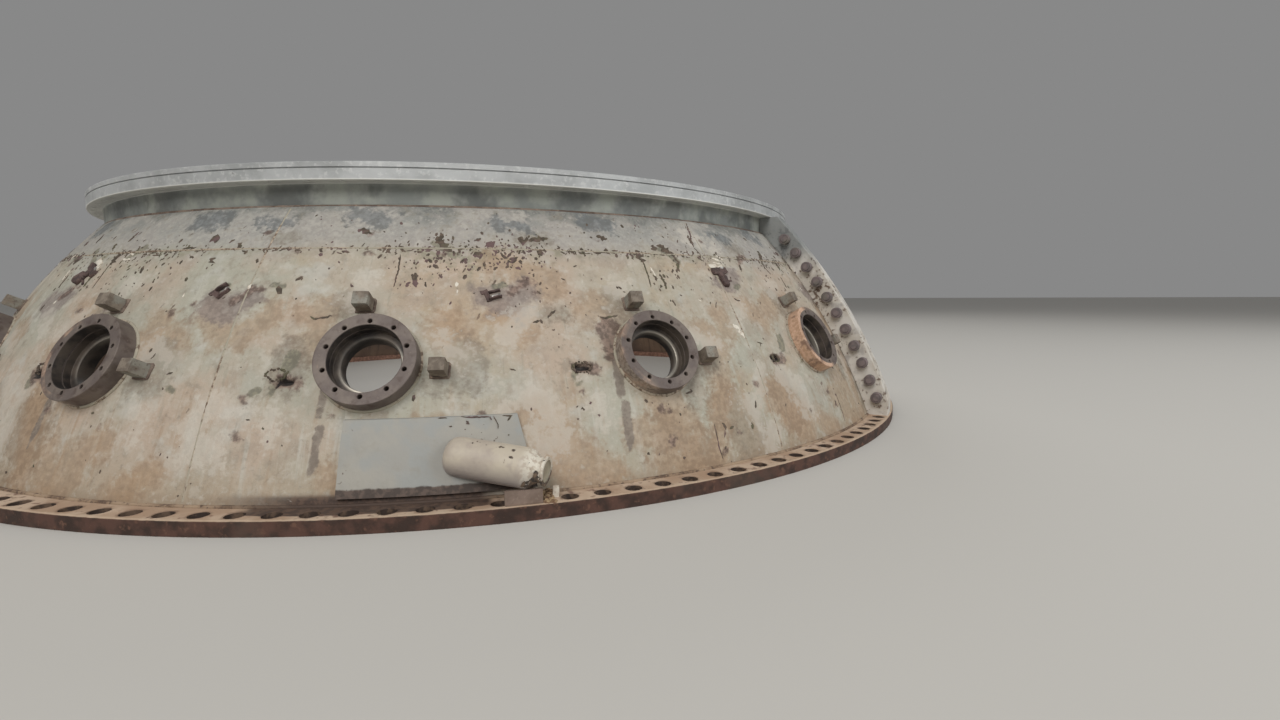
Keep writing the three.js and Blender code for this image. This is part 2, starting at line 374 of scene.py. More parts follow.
def from_shape(name, shape, finish, move=Matrix.Identity(4)):
    """A piece of one finish from a bmesh shape, which is used up."""
    data = bpy.data.meshes.new(name)
    shape.to_mesh(data)
    shape.free()
    data.transform(move)
    data.materials.append(finish)
    return stood(name, data)


def reworked(piece, tool):
    """Changes a piece with a bmesh tool."""
    shape = bmesh.new()
    shape.from_mesh(piece.data)
    tool(shape)
    shape.to_mesh(piece.data)
    shape.free()


def close_ends(shape):
    bmesh.ops.holes_fill(shape, edges=[e for e in shape.edges if e.is_boundary], sides=0)


def read_points(data):
    flat = np.empty(len(data.vertices) * 3)
    data.vertices.foreach_get("co", flat)
    return flat.reshape(-1, 3)


def carry(data, layers):
    """Puts named values on a mesh, one for each of its points."""
    for label, values in layers.items():
        data.attributes.new(label, "FLOAT", "POINT").data.foreach_set("value", values)


def fitted(piece, slot, *nodes, edge=35.0):
    """Shades a finished piece, hands it to the model and hides any CAD parts that it stands in for."""
    piece.data.polygons.foreach_set("use_smooth", [True] * len(piece.data.polygons))
    piece.data.set_sharp_from_angle(angle=math.radians(edge))
    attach(piece, "root")
    if nodes:
        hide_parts(*nodes)


def under_pad(azimuths):
    """How far each azimuth lies under one of the side pads, where painted shadow of the pad and pipe, with
    soot and dirt, darkens the flange and the shell's foot.
    """
    turn = np.where(azimuths > 0, azimuths - 180, azimuths)
    return np.clip((turn - SHADE_AND_SOOT_FROM) / 6, 0, 1) * np.clip((SHADE_AND_SOOT_TO - turn) / 1.5, 0, 1)


rust = Finish("flange_primer_and_rust", "#ab9079", 0.8)
radius, cloud, grit = rust.from_axis(), rust.noise(0.22, 5), rust.noise(0.035, 6, seed=3)
soft_grit = rust.uneven(grit, 0.05)
soft_radius = rust.plus(radius, soft_grit)
rust.coat("#c4ae98", cloud, 0.38, 0.62)
rust.coat("#75564a", rust.plus(grit, (cloud, 0.6)), 0.86, 1.0, 0.8)
rust.coat("#cdb69d", soft_radius, FLANGE_EDGE - 0.030, FLANGE_EDGE - 0.010, 0.7)
inner_ledge = rust.mixed("#6d4f42", "#8a6857", grit, 0.42, 0.6)
rust.coat(inner_ledge, soft_radius, FLANGE_BORE + 0.12, FLANGE_BORE + 0.10)
rust.coat("#5b4336", rust.plus(rust.painted("hole"), rust.uneven(grit, 1.6)), 0.55, 1.05, 0.45)
# Painted shadow under the side pads and pipes, mixed with soot and dirt, darkens the flange top there
shade_and_soot = rust.plus(rust.painted("soot"), rust.uneven(cloud, 0.8), soft_grit)
rust.coat(rust.mixed("#3f302a", "#5a463a", grit, 0.42, 0.6), shade_and_soot, 0.35, 0.65, 0.95)
# Painted shade on the walls of the bolt holes and on the flange's underside
hole_and_underside_shade = rust.times(rust.between(rust.height(), FLANGE_TOP - 0.001, FLANGE_TOP - 0.004),
                     rust.between(radius, FLANGE_EDGE - 0.010, FLANGE_EDGE - 0.015),
                     rust.between(radius, FLANGE_BORE + 0.010, FLANGE_BORE + 0.015))
rust.layer(rust.mixed("#3f322b", "#6b5748", grit, 0.46, 0.62), hole_and_underside_shade)
side = rust.mixed("#583d33", "#392922", rust.noise(0.09, 6, seed=8), 0.4, 0.62)
side = rust.mixed(side, "#6b4e40", grit, 0.56, 0.70)
side = rust.mixed(side, "#4d4037", rust.noise(0.5, 5, seed=9), 0.5, 0.6, 0.6)
rust.coat(side, rust.plus(radius, (grit, 0.004)), FLANGE_EDGE - 0.003, FLANGE_EDGE + 0.001)
flange_finish = rust.finish([(cloud, 0.004), (grit, 0.0025)], rust.plus(0.62, (grit, 0.4)))

top_radii = (FLANGE_BORE + FLANGE_CHAMFER, 4.24, 4.30, 4.335, 4.3567, 4.3783, 4.4, 4.4217, 4.4433, 4.465,
             FLANGE_EDGE - FLANGE_CHAMFER)
top = [(r, FLANGE_TOP) for r in top_radii]
wall = [(FLANGE_EDGE, h) for h in (FLANGE_TOP - FLANGE_CHAMFER, 0.05, 0.025, FLANGE_CHAMFER)]
under = [(r, 0.0) for r in reversed(top_radii)]
bore = [(FLANGE_BORE, h) for h in (FLANGE_CHAMFER, FLANGE_TOP / 2, FLANGE_TOP - FLANGE_CHAMFER)]
flange_profile = top + wall + under + bore
BOLT_BLOCK = 3
blocks = [(3, BOLT_BLOCK), (len(top) + len(wall) + 1, BOLT_BLOCK)]
hole_rows = [(BOLT_HOLE + 0.002, 0.0), (BOLT_HOLE, 0.002)]
pitch_angle = 360 / BOLTS_ROUND
for half, start in HALVES:
    bay = ring_bay("bay", pitch_angle / 2, 8, flange_profile, blocks, hole_rows)
    grown(bay, bay_tree, {"Bays": BOLTS_ROUND // 2 - 1, "First": math.radians(start + pitch_angle),
                          "Step": math.radians(pitch_angle), "Join": 0.0005, "Finish": flange_finish})
    parts = [bay]
    for at in (start + pitch_angle / 4, start + 180 - pitch_angle / 4):
        end = ring_bay("end", pitch_angle / 4, 4, flange_profile)
        end.data.transform(Matrix.Rotation(math.radians(at), 4, "Z"))
        parts.append(end)
    shape = bmesh.new()
    for part in parts:
        shape.from_mesh(part.data)
        bpy.data.objects.remove(part)
    bmesh.ops.remove_doubles(shape, verts=shape.verts[:], dist=0.0006)
    flange = from_shape(f"large_flange_{half}", shape, flange_finish)
    reworked(flange, close_ends)
    points = read_points(flange.data)
    turns = np.degrees(np.arctan2(points[:, 1], points[:, 0]))
    reach = np.hypot(points[:, 0], points[:, 1])
    along_pitch = (turns / pitch_angle + 0.5) % 1 - 0.5
    off = np.hypot(reach - BOLT_CIRCLE, np.radians(along_pitch * pitch_angle) * BOLT_CIRCLE)
    # This attribute carries the painted shadow under the pad and pipe together with soot, short of the
    # flange's lip
    soot = under_pad(turns) * np.clip((SHADE_AND_SOOT_EDGE - reach) / 0.03, 0, 1) * (reach > FLANGE_BORE + 0.11)
    carry(flange.data, {"hole": np.exp(-((off - BOLT_HOLE) / 0.014) ** 2), "soot": soot})
    fitted(flange, "rusty_flange", f"lower_flange_{half}")

# Shell, lower course.
# Sixteen bays of 70 mm plate pressed to a sphere and welded together, with a hole in each for a vane's stem
# boss. The paint is old and patched, with scars and stains left from taking the ring apart.
SPHERE_OUTSIDE, SPHERE_INSIDE, SPHERE_CENTRE = 4.570, 4.500, -1.460
PORT_LATITUDE = 28.68
BAY = 22.5
PORTS = [BAY * (i + 0.5) - 180 for i in range(16)]
SEAM_HEIGHT = 1.365
GAP = 0.0003
BAY_CELLS = 104
ROWS_BELOW, ROWS_ABOVE = 48, 52
PATCH = 24
PATCH_RINGS = 6
COARSE = 4
BOSS_RADIUS = 0.254
CRATER_DEPTH = 0.028
# Height up to which the shell's foot under the side pads gets painted shade with rust
SHADE_UNDER_PAD_TOP = 0.135
PLATE_EDGES = (-180, -157.5, -112.5, -67.5, -22.5, 0, 22.5, 67.5, 112.5, 157.5, 180)


def on_sphere(azimuth, latitude, distance):
    a, l = np.broadcast_arrays(np.radians(azimuth), np.radians(latitude))
    level = distance * np.cos(l)
    return np.stack([level * np.cos(a), level * np.sin(a), SPHERE_CENTRE + distance * np.sin(l)], -1)


def latitude_at(height, distance):
    return math.degrees(math.asin((height - SPHERE_CENTRE) / distance))


def port_axes(azimuth, latitude=PORT_LATITUDE):
    """Directions along the ring, up the meridian and out, at a port or at another place of the shell."""
    a, l = math.radians(azimuth), math.radians(latitude)
    along = np.array([-math.sin(a), math.cos(a), 0])
    out = np.array([math.cos(l) * math.cos(a), math.cos(l) * math.sin(a), math.sin(l)])
    return along, np.cross(out, along), out


def round_port(azimuth, distance, ring, turns):
    """Points of the sphere that stand `ring` off the port's axis, as azimuths and latitudes."""
    along, rise, out = port_axes(azimuth)
    turns = np.radians(turns)[:, None]
    points = math.sqrt(distance**2 - ring**2) * out + ring * (np.cos(turns) * along + np.sin(turns) * rise)
    return np.degrees(np.arctan2(points[:, 1], points[:, 0])), np.degrees(np.arcsin(points[:, 2] / distance))


def waves(points, size, seed):
    """Smooth unevenness from about -1 to 1, with waves about `size` metres long."""
    rng = np.random.default_rng(seed)
    total = np.zeros(len(points))
    for _ in range(12):
        way = rng.normal(size=3)
        way *= 2 * math.pi / size * rng.uniform(0.6, 1.5) / np.linalg.norm(way)
        total += np.sin(points @ way + rng.uniform(0, 2 * math.pi))
    return total / 3.4


def grid_edge(wide, left, right, low, top):
    """Numbers of the points round a rectangle of a grid whose rows have `wide` points."""
    forth = [low * wide + i for i in range(left, right)] + [j * wide + right for j in range(low, top)]
    back = [top * wide + i for i in range(right, left, -1)] + [j * wide + left for j in range(top, low, -1)]
    return forth + back


def curved_sheet(first, bays, rows, distance, step, ports):
    """One face of a course: azimuths, latitudes, faces, its edge and the edge of each port's hole."""
    bay_cells = BAY_CELLS // step
    across, high = bays * bay_cells, len(rows) - 1
    wide = across + 1
    azimuth, latitude = np.meshgrid(first + np.arange(wide) * BAY * step / BAY_CELLS, rows)
    azimuth, latitude = [azimuth.ravel()], [latitude.ravel()]
    kept = np.ones((high, across), bool)
    half, middle = PATCH // step, ROWS_BELOW // step
    loops, extra, count = [], [], wide * (high + 1)
    for bay in range(bays if ports else 0):
        centre = bay_cells // 2 + bay * bay_cells
        sides = centre - half, centre + half, middle - half, middle + half
        kept[sides[2]:sides[3], sides[0]:sides[1]] = False
        previous = np.array(grid_edge(wide, *sides))
        around = len(previous)
        turns = -135 + 360 / around * np.arange(around)
        hole = round_port(first + (bay + 0.5) * BAY, distance, BOSS_RADIUS + GAP, turns)
        square = azimuth[0][previous], latitude[0][previous]
        rings = max(PATCH_RINGS // step, 2)
        for ring in range(1, rings + 1):
            azimuth.append(square[0] + (hole[0] - square[0]) * ring / rings)
            latitude.append(square[1] + (hole[1] - square[1]) * ring / rings)
            row = count + np.arange(around)
            extra.append(np.stack([previous, np.roll(previous, -1), np.roll(row, -1), row], -1))
            previous = row
            count += around
        loops.append(previous)
    j, i = np.nonzero(kept)
    low_left = j * wide + i
    squares = np.stack([low_left, low_left + 1, low_left + wide + 1, low_left + wide], -1)
    faces = np.concatenate([squares] + extra)
    used = np.unique(faces)
    number = np.full(count, -1)
    number[used] = np.arange(len(used))
    azimuth, latitude = np.concatenate(azimuth)[used], np.concatenate(latitude)[used]
    edge = number[np.array(grid_edge(wide, 0, across, 0, high))]
    return azimuth, latitude, number[faces], edge, [number[loop] for loop in loops]


def mark_depth(x, y, strips):
    """How far inside the nearest strip each place is, in metres."""
    depth = np.full(len(x), -1.0)
    for x0, y0, w0, x1, y1, w1 in strips:
        run, climb = x1 - x0, y1 - y0
        share = np.clip(((x - x0) * run + (y - y0) * climb) / max(run * run + climb * climb, 1e-9), 0, 1)
        away = np.hypot(x - x0 - run * share, y - y0 - climb * share)
        depth = np.maximum(depth, w0 + (w1 - w0) * share - away)
    return depth


def skin_points(azimuth, latitude, lift=0.0):
    """Points of the shell's uneven outside, lifted off it or sunk into it."""
    points = on_sphere(azimuth, latitude, SPHERE_OUTSIDE)
    out = (points - (0, 0, SPHERE_CENTRE)) / SPHERE_OUTSIDE
    uneven = 0.0018 * waves(points, 1.1, 3) + 0.0009 * waves(points, 0.31, 4)
    return points + out * (uneven + lift)[:, None]


# Marks left on a bay, from its port's axis: each is a strip from one point and half width to another
SCAR = [(-0.262, 0.185, 0.060, -0.262, 0.04, 0.050), (-0.30, 0.05, 0.02, -0.285, 0.0, 0.012)]
DRIP = [(-0.245, 0.0, 0.036, -0.262, -0.10, 0.028), (-0.262, -0.10, 0.028, -0.270, -0.225, 0.027),
        (-0.262, -0.295, 0.032, -0.266, -0.385, 0.026), (-0.266, -0.385, 0.026, -0.273, -0.475, 0.031),
        (-0.273, -0.475, 0.030, -0.285, -0.545, 0.006)]
CRATER = [(-0.515, -0.046, 0.012, -0.480, -0.056, 0.023), (-0.480, -0.056, 0.023, -0.436, -0.060, 0.017),
          (-0.500, -0.070, 0.012, -0.512, -0.088, 0.006)]
CRATER_STAIN = [(-0.49, -0.06, 0.035, -0.39, -0.074, 0.024)]
CRATER_MOSS = [(-0.517, -0.080, 0.026, -0.527, -0.135, 0.016)]
LUG_RUST = [(-0.70, 0.506, 0.016, -0.641, 0.506, 0.013), (-0.72, 0.483, 0.013, -0.79, 0.43, 0.015)]
# Grey-green halos beside and under the blocks: dirt with painted shade of the blocks
BLOCK_SHADE_AND_DIRT = [(-0.17, 0.40, 0.05, -0.14, 0.30, 0.06), (0.32, -0.11, 0.05, 0.42, -0.07, 0.04)]
BLOCK_PALE = [(-0.100, 0.500, 0.040, -0.14, 0.41, 0.030), (0.341, 0.117, 0.030, 0.455, 0.048, 0.020)]
TAN_STAIN = [(-0.374, 0.298, 0.060, -0.24, 0.345, 0.050), (0.38, 0.18, 0.03, 0.47, 0.13, 0.05)]
PATCH_OVAL = [(-0.400, 0.050, 0.032, -0.425, -0.020, 0.030)]
# Violet-grey smears beside and under the torn lugs: torch smoke with painted shadow of the lugs
LUG_SMOKE_AND_SHADOW = [(-0.93, 0.40, 0.06, -0.80, 0.37, 0.07), (-0.80, 0.37, 0.06, -0.70, 0.45, 0.05)]
# The bay's own marks in order. Those of a new place are moved and resized together with the ones after them,
# and those by the blocks stay where they are
BAY_GROUPS = [("rust", SCAR), ("drip", DRIP), ("crater", CRATER), ("rust", CRATER_STAIN),
              ("moss", CRATER_MOSS), ("smoke", LUG_SMOKE_AND_SHADOW), ("rust", LUG_RUST), ("dirt", BLOCK_SHADE_AND_DIRT),
              ("pale", BLOCK_PALE), ("tan", TAN_STAIN)]
NEW_PLACE = (0, 2, 5, 7, 8, 9)
BY_BLOCKS = 6
# Bay 8 has its own places for these groups and doesn't have the ones named last
BAY_8_MOVES = {2: (-0.095, -0.038), 3: (-0.095, -0.038), 5: (0.17, 0.14), 6: (0.41, 0.26)}
BAY_8_LACKS = (0, 1, 4)
SPOTS = 9
MARK_KINDS = ("rust", "drip", "moss", "dirt", "pale", "tan", "crater", "smoke", "soot", "wash")
# Stains of the measured bay, mirrored and moved for the others
STAINS = {
    "tan": [(-0.022, -0.277, 0.083, 0.086, -0.412, 0.084), (0.371, -0.363, 0.042, 0.295, -0.67, 0.041),
            (0.156, -0.498, 0.04, 0.073, -0.653, 0.039), (0.877, -0.352, 0.106, 1.144, -0.566, 0.111),
            (-0.08, -0.603, 0.044, 0.125, -0.705, 0.046), (-0.315, 0.359, 0.062, -0.202, 0.285, 0.062),
            (-1.168, 0.234, 0.059, -1.18, 0.138, 0.059), (-0.87, 0.295, 0.06, -0.759, 0.193, 0.059),
            (-0.566, -0.576, 0.042, -0.407, -0.663, 0.043), (-0.795, 0.639, 0.079, -0.569, 0.489, 0.078),
            (0.511, 0.041, 0.051, 0.412, -0.301, 0.049), (-0.21, -0.441, 0.058, -0.029, -0.521, 0.06)],
    "pale": [(0.589, -0.371, 0.030, 0.657, -0.48, 0.030), (0.816, -0.146, 0.018, 0.736, -0.371, 0.017),
             (-0.707, -0.411, 0.036, -0.638, -0.5, 0.036), (-0.395, -0.276, 0.022, -0.4, -0.38, 0.022),
             (0.845, 0.284, 0.036, 0.742, 0.184, 0.035), (0.797, -0.55, 0.024, 0.712, -0.72, 0.024),
             (-0.780, -0.420, 0.026, -0.715, -0.500, 0.026), (0.62, 0.93, 0.045, 0.86, 0.87, 0.045),
             (-0.82, -0.21, 0.050, -0.70, -0.31, 0.050)],
    # These halos are dirt with painted shade beside the blocks
    "dirt": [(-1.081, 0.074, 0.065, -1.104, -0.104, 0.064), (-0.516, 0.308, 0.03, -0.613, 0.274, 0.03),
             (0.21, -0.166, 0.022, 0.173, -0.326, 0.022), (-0.62, 0.855, 0.03, -0.50, 0.850, 0.03)],
    "moss": [(-0.486, -0.134, 0.016, -0.52, -0.155, 0.016), (-0.86, 0.475, 0.022, -0.81, 0.490, 0.018),
             (0.30, 0.80, 0.020, 0.42, 0.70, 0.024)],
    "soot": [(-0.745, 0.972, 0.030, -0.600, 0.960, 0.038), (-0.17, 1.03, 0.05, -0.02, 1.00, 0.045)],
    "wash": [(-0.02, -0.46, 0.07, 0.16, -0.62, 0.09), (0.42, -0.36, 0.10, 0.60, -0.60, 0.12),
             (0.94, -0.30, 0.08, 1.05, -0.48, 0.12)]}


def bay_marks(bay):
    """Marks of one bay by kind. Each bay has the same ones, a little moved, resized or missing."""
    rng = np.random.default_rng(100 + bay)
    measured = bay in (7, 8)
    marks = {kind: [] for kind in MARK_KINDS}
    shift, size, kept = (0, 0), 1, True
    for number, (kind, strips) in enumerate(BAY_GROUPS):
        if number in NEW_PLACE:
            shift = (0, 0) if measured else rng.uniform(-0.05, 0.05, 2) * (number < BY_BLOCKS)
            size = 1 if measured else rng.uniform(0.7, 1.3)
            kept = measured or number >= BY_BLOCKS or rng.uniform() < 0.75
        if bay == 8:
            kept = number not in BAY_8_LACKS
            size = 0.6 if strips is LUG_SMOKE_AND_SHADOW else 1
            shift = BAY_8_MOVES.get(number, (0, 0))
        if kept:
            marks[kind] += [(x0 + shift[0], y0 + shift[1], w0 * size, x1 + shift[0], y1 + shift[1], w1 * size)
                            for x0, y0, w0, x1, y1, w1 in strips]
    if bay == 8 or rng.uniform() < 0.3:
        marks["moss"] += PATCH_OVAL
    places = rng.uniform(-0.75, 0.75, SPOTS), rng.uniform(-0.7, 0.9, SPOTS)
    for x, y, size in zip(*places, rng.uniform(0.003, 0.014, SPOTS)):
        marks["rust"].append((x, y, size, x + rng.uniform(-0.02, 0.02), y - 0.01, size * 0.6))
    flip, shift = (1, 0) if bay == 7 else (rng.choice((-1, 1)), rng.uniform(-0.3, 0.3))
    for kind, strips in STAINS.items():
        for x0, y0, w0, x1, y1, w1 in strips:
            if bay == 7 or rng.uniform() < 0.6 and (kind != "wash" or bay not in (6, 8)):
                marks[kind].append((x0 * flip + shift, y0, w0, x1 * flip + shift, y1, w1))
    return marks


def skin_data(data, azimuth, latitude):
    """Puts on a mesh where each point lies on the skin, and how deep it is in each kind of mark."""
    skin = np.stack([np.radians(azimuth) * SPHERE_OUTSIDE * math.cos(math.radians(PORT_LATITUDE)),
                     np.radians(latitude) * SPHERE_OUTSIDE, np.zeros(len(azimuth))], -1)
    data.attributes.new("skin", "FLOAT_VECTOR", "POINT").data.foreach_set("vector", skin.ravel())
    depths = {kind: np.full(len(azimuth), -1.0) for kind in MARK_KINDS}
    rise = np.radians(latitude - PORT_LATITUDE) * SPHERE_OUTSIDE
    for number, port in enumerate(PORTS, 1):
        off = (azimuth - port + 180) % 360 - 180
        near = np.abs(off) < BAY
        if not near.any():
            continue
        run = np.radians(off[near]) * SPHERE_OUTSIDE * np.cos(np.radians(latitude[near]))
        for kind, strips in bay_marks(number).items():
            depths[kind][near] = np.maximum(depths[kind][near], mark_depth(run, rise[near], strips))
    height = SPHERE_CENTRE + SPHERE_OUTSIDE * np.sin(np.radians(latitude))
    # Painted shade, with rust, on the shell's foot under the side pads
    depths["recess"] = under_pad(azimuth) * np.clip((SHADE_UNDER_PAD_TOP - height) / 0.02, 0, 1)
    carry(data, depths)
    up_seam = rise - math.radians(latitude_at(SEAM_HEIGHT, SPHERE_OUTSIDE) - PORT_LATITUDE) * SPHERE_OUTSIDE
    return up_seam, depths["crater"]


def burn_density(azimuth, up_seam):
    """Share of the skin that spatter and pits cover: most along the round seam, in clouds."""
    clouds = np.sin(np.radians(azimuth * 7.3)) * 0.5 + np.sin(np.radians(azimuth * 3.1 + 50)) * 0.5
    band = np.exp(-((up_seam + 0.02) / 0.035) ** 2) * 0.55
    spread = np.exp(-((up_seam + 0.10) / 0.17) ** 2)
    near = np.exp(-((azimuth + 49) / 7.0) ** 2)
    return np.clip(band * (0.6 + 0.4 * clouds) + spread * (0.10 + 0.10 * clouds + 0.42 * near), 0.015, 0.8)


def course(name, first, bays, low, high, plain_rows=0):
    """A curved plate of the shell as one closed body, fine outside and coarse inside. One with plain rows has
    no ports."""
    sheets = []
    for distance, step in ((SPHERE_OUTSIDE, 1), (SPHERE_INSIDE, COARSE)):
        bottom, top = latitude_at(low, distance), latitude_at(high, distance)
        rows = np.linspace(bottom, top, plain_rows // step + 1)
        if not plain_rows:
            below = np.linspace(bottom, PORT_LATITUDE, ROWS_BELOW // step + 1)
            rows = np.concatenate([below, np.linspace(PORT_LATITUDE, top, ROWS_ABOVE // step + 1)[1:]])
        sheets.append(curved_sheet(first, bays, rows, distance, step, not plain_rows))
    azimuth, latitude, outer, edge, loops = sheets[0]
    inside_azimuth, inside_latitude, inner, inside_edge, inside_loops = sheets[1]
    first_inside = len(azimuth)
    outer, inner = outer.tolist(), (inner[:, ::-1] + first_inside).tolist()
    rims = []
    holes = [(fine, coarse, True) for fine, coarse in zip(loops, inside_loops)]
    for fine, coarse, hole in [(edge, inside_edge, False)] + holes:
        fine, coarse = fine.tolist(), (coarse + first_inside).tolist()
        for k in range(len(coarse)):
            run = [fine[(COARSE * k + n) % len(fine)] for n in range(COARSE + 1)]
            rim_face = run[::-1] + [coarse[k], coarse[(k + 1) % len(coarse)]]
            rims.append(rim_face[::-1] if hole else rim_face)
    inside_points = on_sphere(inside_azimuth, inside_latitude, SPHERE_INSIDE)
    points = np.concatenate([skin_points(azimuth, latitude), inside_points])
    piece = mesh_object(name, points, outer + inner + rims)
    for finish in (shell_paint, water_side):
        piece.data.materials.append(finish)
    slots = np.zeros(len(piece.data.polygons), np.int32)
    slots[len(outer):len(outer) + len(inner)] = 1
    piece.data.polygons.foreach_set("material_index", slots)
    all_azimuths = np.concatenate([azimuth, inside_azimuth])
    up_seam, crater = skin_data(piece.data, all_azimuths, np.concatenate([latitude, inside_latitude]))
    sunk = np.clip(crater[:first_inside] / 0.012 + 0.25, 0, 1) * CRATER_DEPTH
    points[:first_inside] = skin_points(azimuth, latitude, -sunk)
    piece.data.vertices.foreach_set("co", points.ravel())
    carry(piece.data, {"burn": burn_density(all_azimuths, up_seam)})
    return piece


paint = Finish("aged_shell_paint", "#aba899", 0.7)
skin = paint.skin()
huge, broad = paint.noise(1.5, 4, seed=1, rough=0.6), paint.noise(0.5, 6, seed=2, rough=0.62)
middle, small = paint.noise(0.2, 6, seed=3, rough=0.62), paint.noise(0.085, 6, seed=4, rough=0.62)
fine, grain = paint.noise(0.026, 5, seed=5, rough=0.6), paint.noise(0.009, 3, seed=6)
high = paint.height()
low = paint.between(high, 0.85, 0.25)
paint.coat("#b4a594", paint.plus(huge, (broad, 0.35)), 0.58, 0.80)
paint.coat("#b5a18f", broad, 0.50, 0.64, 0.6)
paint.coat("#a8a699", paint.noise(0.7, 6, seed=9, rough=0.6), 0.52, 0.66, 0.8)
paint.coat("#ae987c", paint.noise(0.55, 6, seed=7, rough=0.6), 0.53, 0.68, 0.55)
paint.coat("#bab8b0", middle, 0.53, 0.66, 0.6)
paint.coat("#a09182", middle, 0.47, 0.35, 0.5)
# Streaks that run down the shell: colour, width, length, seed, edges and how strong they are
for code, wide, tall, seed, low_edge, high_edge, strength in (
        ("#c1beb4", 0.05, 0.7, 1, 0.53, 0.66, paint.times(low, 0.65)),
        ("#9c7f63", 0.06, 0.6, 6, 0.53, 0.66, paint.plus(0.14, (low, 0.35))),
        ("#8d8a7c", 0.03, 0.35, 8, 0.57, 0.68, 0.4)):
    pattern = paint.noise(1.0, 5, at=paint.stretched(skin, (1 / wide, 1 / tall, 1)), seed=seed, rough=0.6)
    paint.coat(code, pattern, low_edge, high_edge, strength)
foot_tone = paint.mixed("#a09078", "#b2a38d", small, 0.42, 0.58)
paint.coat(foot_tone, paint.plus(high, (middle, 0.35)), 0.50, 0.26, 0.55)
upper_tone = paint.mixed("#979490", "#a8a59f", small, 0.44, 0.56)
paint.coat(upper_tone, paint.plus(high, (broad, 0.30)), 1.42, 1.60, 0.85)
smoke = paint.noise(0.3, 5, seed=11, rough=0.6)
paint.coat("#7b7f7c", smoke, 0.47, 0.62, paint.between(high, 1.40, 1.60), 0.66)
shoulder_tone = paint.mixed("#5f615f", "#7d7f79", fine, 0.42, 0.6)
ragged_height = paint.plus(high, paint.uneven(broad, 0.5), paint.uneven(small, 0.3))
paint.coat(shoulder_tone, ragged_height, 1.56, 1.66, 0.8)
paint.coat("#8d7863", paint.plus(high, paint.uneven(small, 0.08)), 0.155, 0.085, 0.45)
burn = paint.painted("burn")
paint.coat("#8a8670", burn, 0.05, 0.5, paint.between(small, 0.46, 0.60), 0.75)
paint.coat("#8c8375", small, 0.53, 0.66, 0.45)
paint.coat("#c9c4b9", small, 0.47, 0.34, 0.35)
paint.coat("#7d7466", fine, 0.56, 0.70, 0.40)
paint.coat("#cbc6bb", fine, 0.44, 0.30, 0.30)

ragged = paint.plus((middle, 0.10), (small, 0.13), (fine, 0.07), -0.15)
dark_patches = paint.plus(fine, (small, 0.6))
# Marks over the paint: kind, its two tones, how soft its edge is, how strong and how frayed it is. Halos
# by the blocks are dirt with painted shade, and smears by the lugs are torch smoke with painted shadow of the
# lugs
for kind, code, dark_code, soft, strength, frayed in (
        ("wash", "#92806b", "#7f6e5b", 0.13, 0.62, 2.6), ("tan", "#a98c6f", "#977c62", 0.09, 0.55, 2.0),
        ("dirt", "#8f897b", "#786d60", 0.06, 0.58, 1.3), ("soot", "#74787a", "#5a5e60", 0.05, 0.70, 2.2),
        ("smoke", "#8f837d", "#7c706c", 0.07, 0.75, 1.6), ("pale", "#c5bcb0", "#cfc8bc", 0.07, 0.50, 3.0),
        ("moss", "#88836f", "#6f6c5e", 0.008, 0.85, 0.5), ("drip", "#887d72", "#786d63", 0.006, 0.88, 0.30),
        ("rust", "#8a7468", "#5d4c44", 0.022, 0.85, 0.8), ("crater", "#3d3430", "#241f1d", 0.003, 1.0, 0.35)):
    depth = paint.plus(paint.painted(kind), (ragged, frayed))
    paint.coat(paint.mixed(code, dark_code, dark_patches, 0.70, 0.90), depth, -soft, 0.006, strength)
# Painted shade and rust on the shell's foot under the side pads
paint.layer(paint.mixed("#46362e", "#5e4a3e", fine, 0.42, 0.6), paint.painted("recess"))

drift = paint.add("ShaderNodeCombineXYZ", (0, paint.times(fine, 0.03)), (1, paint.times(small, 0.05)))
wobbly = paint.add("ShaderNodeVectorMath", (0, skin), (1, drift), operation="ADD")


def scattered(size, at, share, radius):
    """Dots of about the given radius, in a share of the cells."""
    distance, number = paint.cells(size, at)
    chosen = paint.between(paint.plus(share, (number, -1)), 0.0, 0.015)
    return paint.times(chosen, paint.between(distance, radius, radius * 0.6))


specks = scattered(0.045, paint.stretched(wobbly, (1, 1, 1), 0.7), paint.plus((burn, 0.35), 0.05), 0.12)
nicks = scattered(1.0, paint.stretched(wobbly, (40, 11, 1), 0.5), paint.plus((burn, 0.35), 0.02), 0.25)
# Pits and nicks are darkened: painted shade in the pits, with their rust
pits_with_painted_shade = paint.math("MAXIMUM", specks, nicks)
paint.layer(paint.mixed("#4a4234", "#6a5244", small, 0.42, 0.6), paint.times(pits_with_painted_shade, 0.85))
scrape = paint.noise(1.0, 3, at=paint.stretched(wobbly, (9, 90, 1), 0.35), seed=13)
paint.coat("#d3cec4", scrape, 0.66, 0.72, paint.between(middle, 0.48, 0.60), 0.5)
relief = [(middle, 0.006), (small, 0.004), (fine, 0.0022), (grain, 0.0007), (paint.times(pits_with_painted_shade, -1.0), 0.004)]
shell_paint = paint.finish(relief, paint.plus(0.46, (small, 0.28), (fine, 0.2)))

lining = Finish("water_side_rust", "#5b4a40", 0.85)
grit = lining.noise(0.04, 6, seed=2)
trails = lining.noise(1.0, 4, at=lining.stretched(lining.skin(), (14, 1.2, 1)), seed=3)
lining.coat("#75604f", lining.noise(0.5, 5), 0.4, 0.62)
lining.coat("#3f3733", trails, 0.5, 0.7, 0.7)
lining.coat("#857565", grit, 0.58, 0.72, 0.5)
water_side = lining.finish([(grit, 0.004)], lining.plus(0.7, (grit, 0.3)))

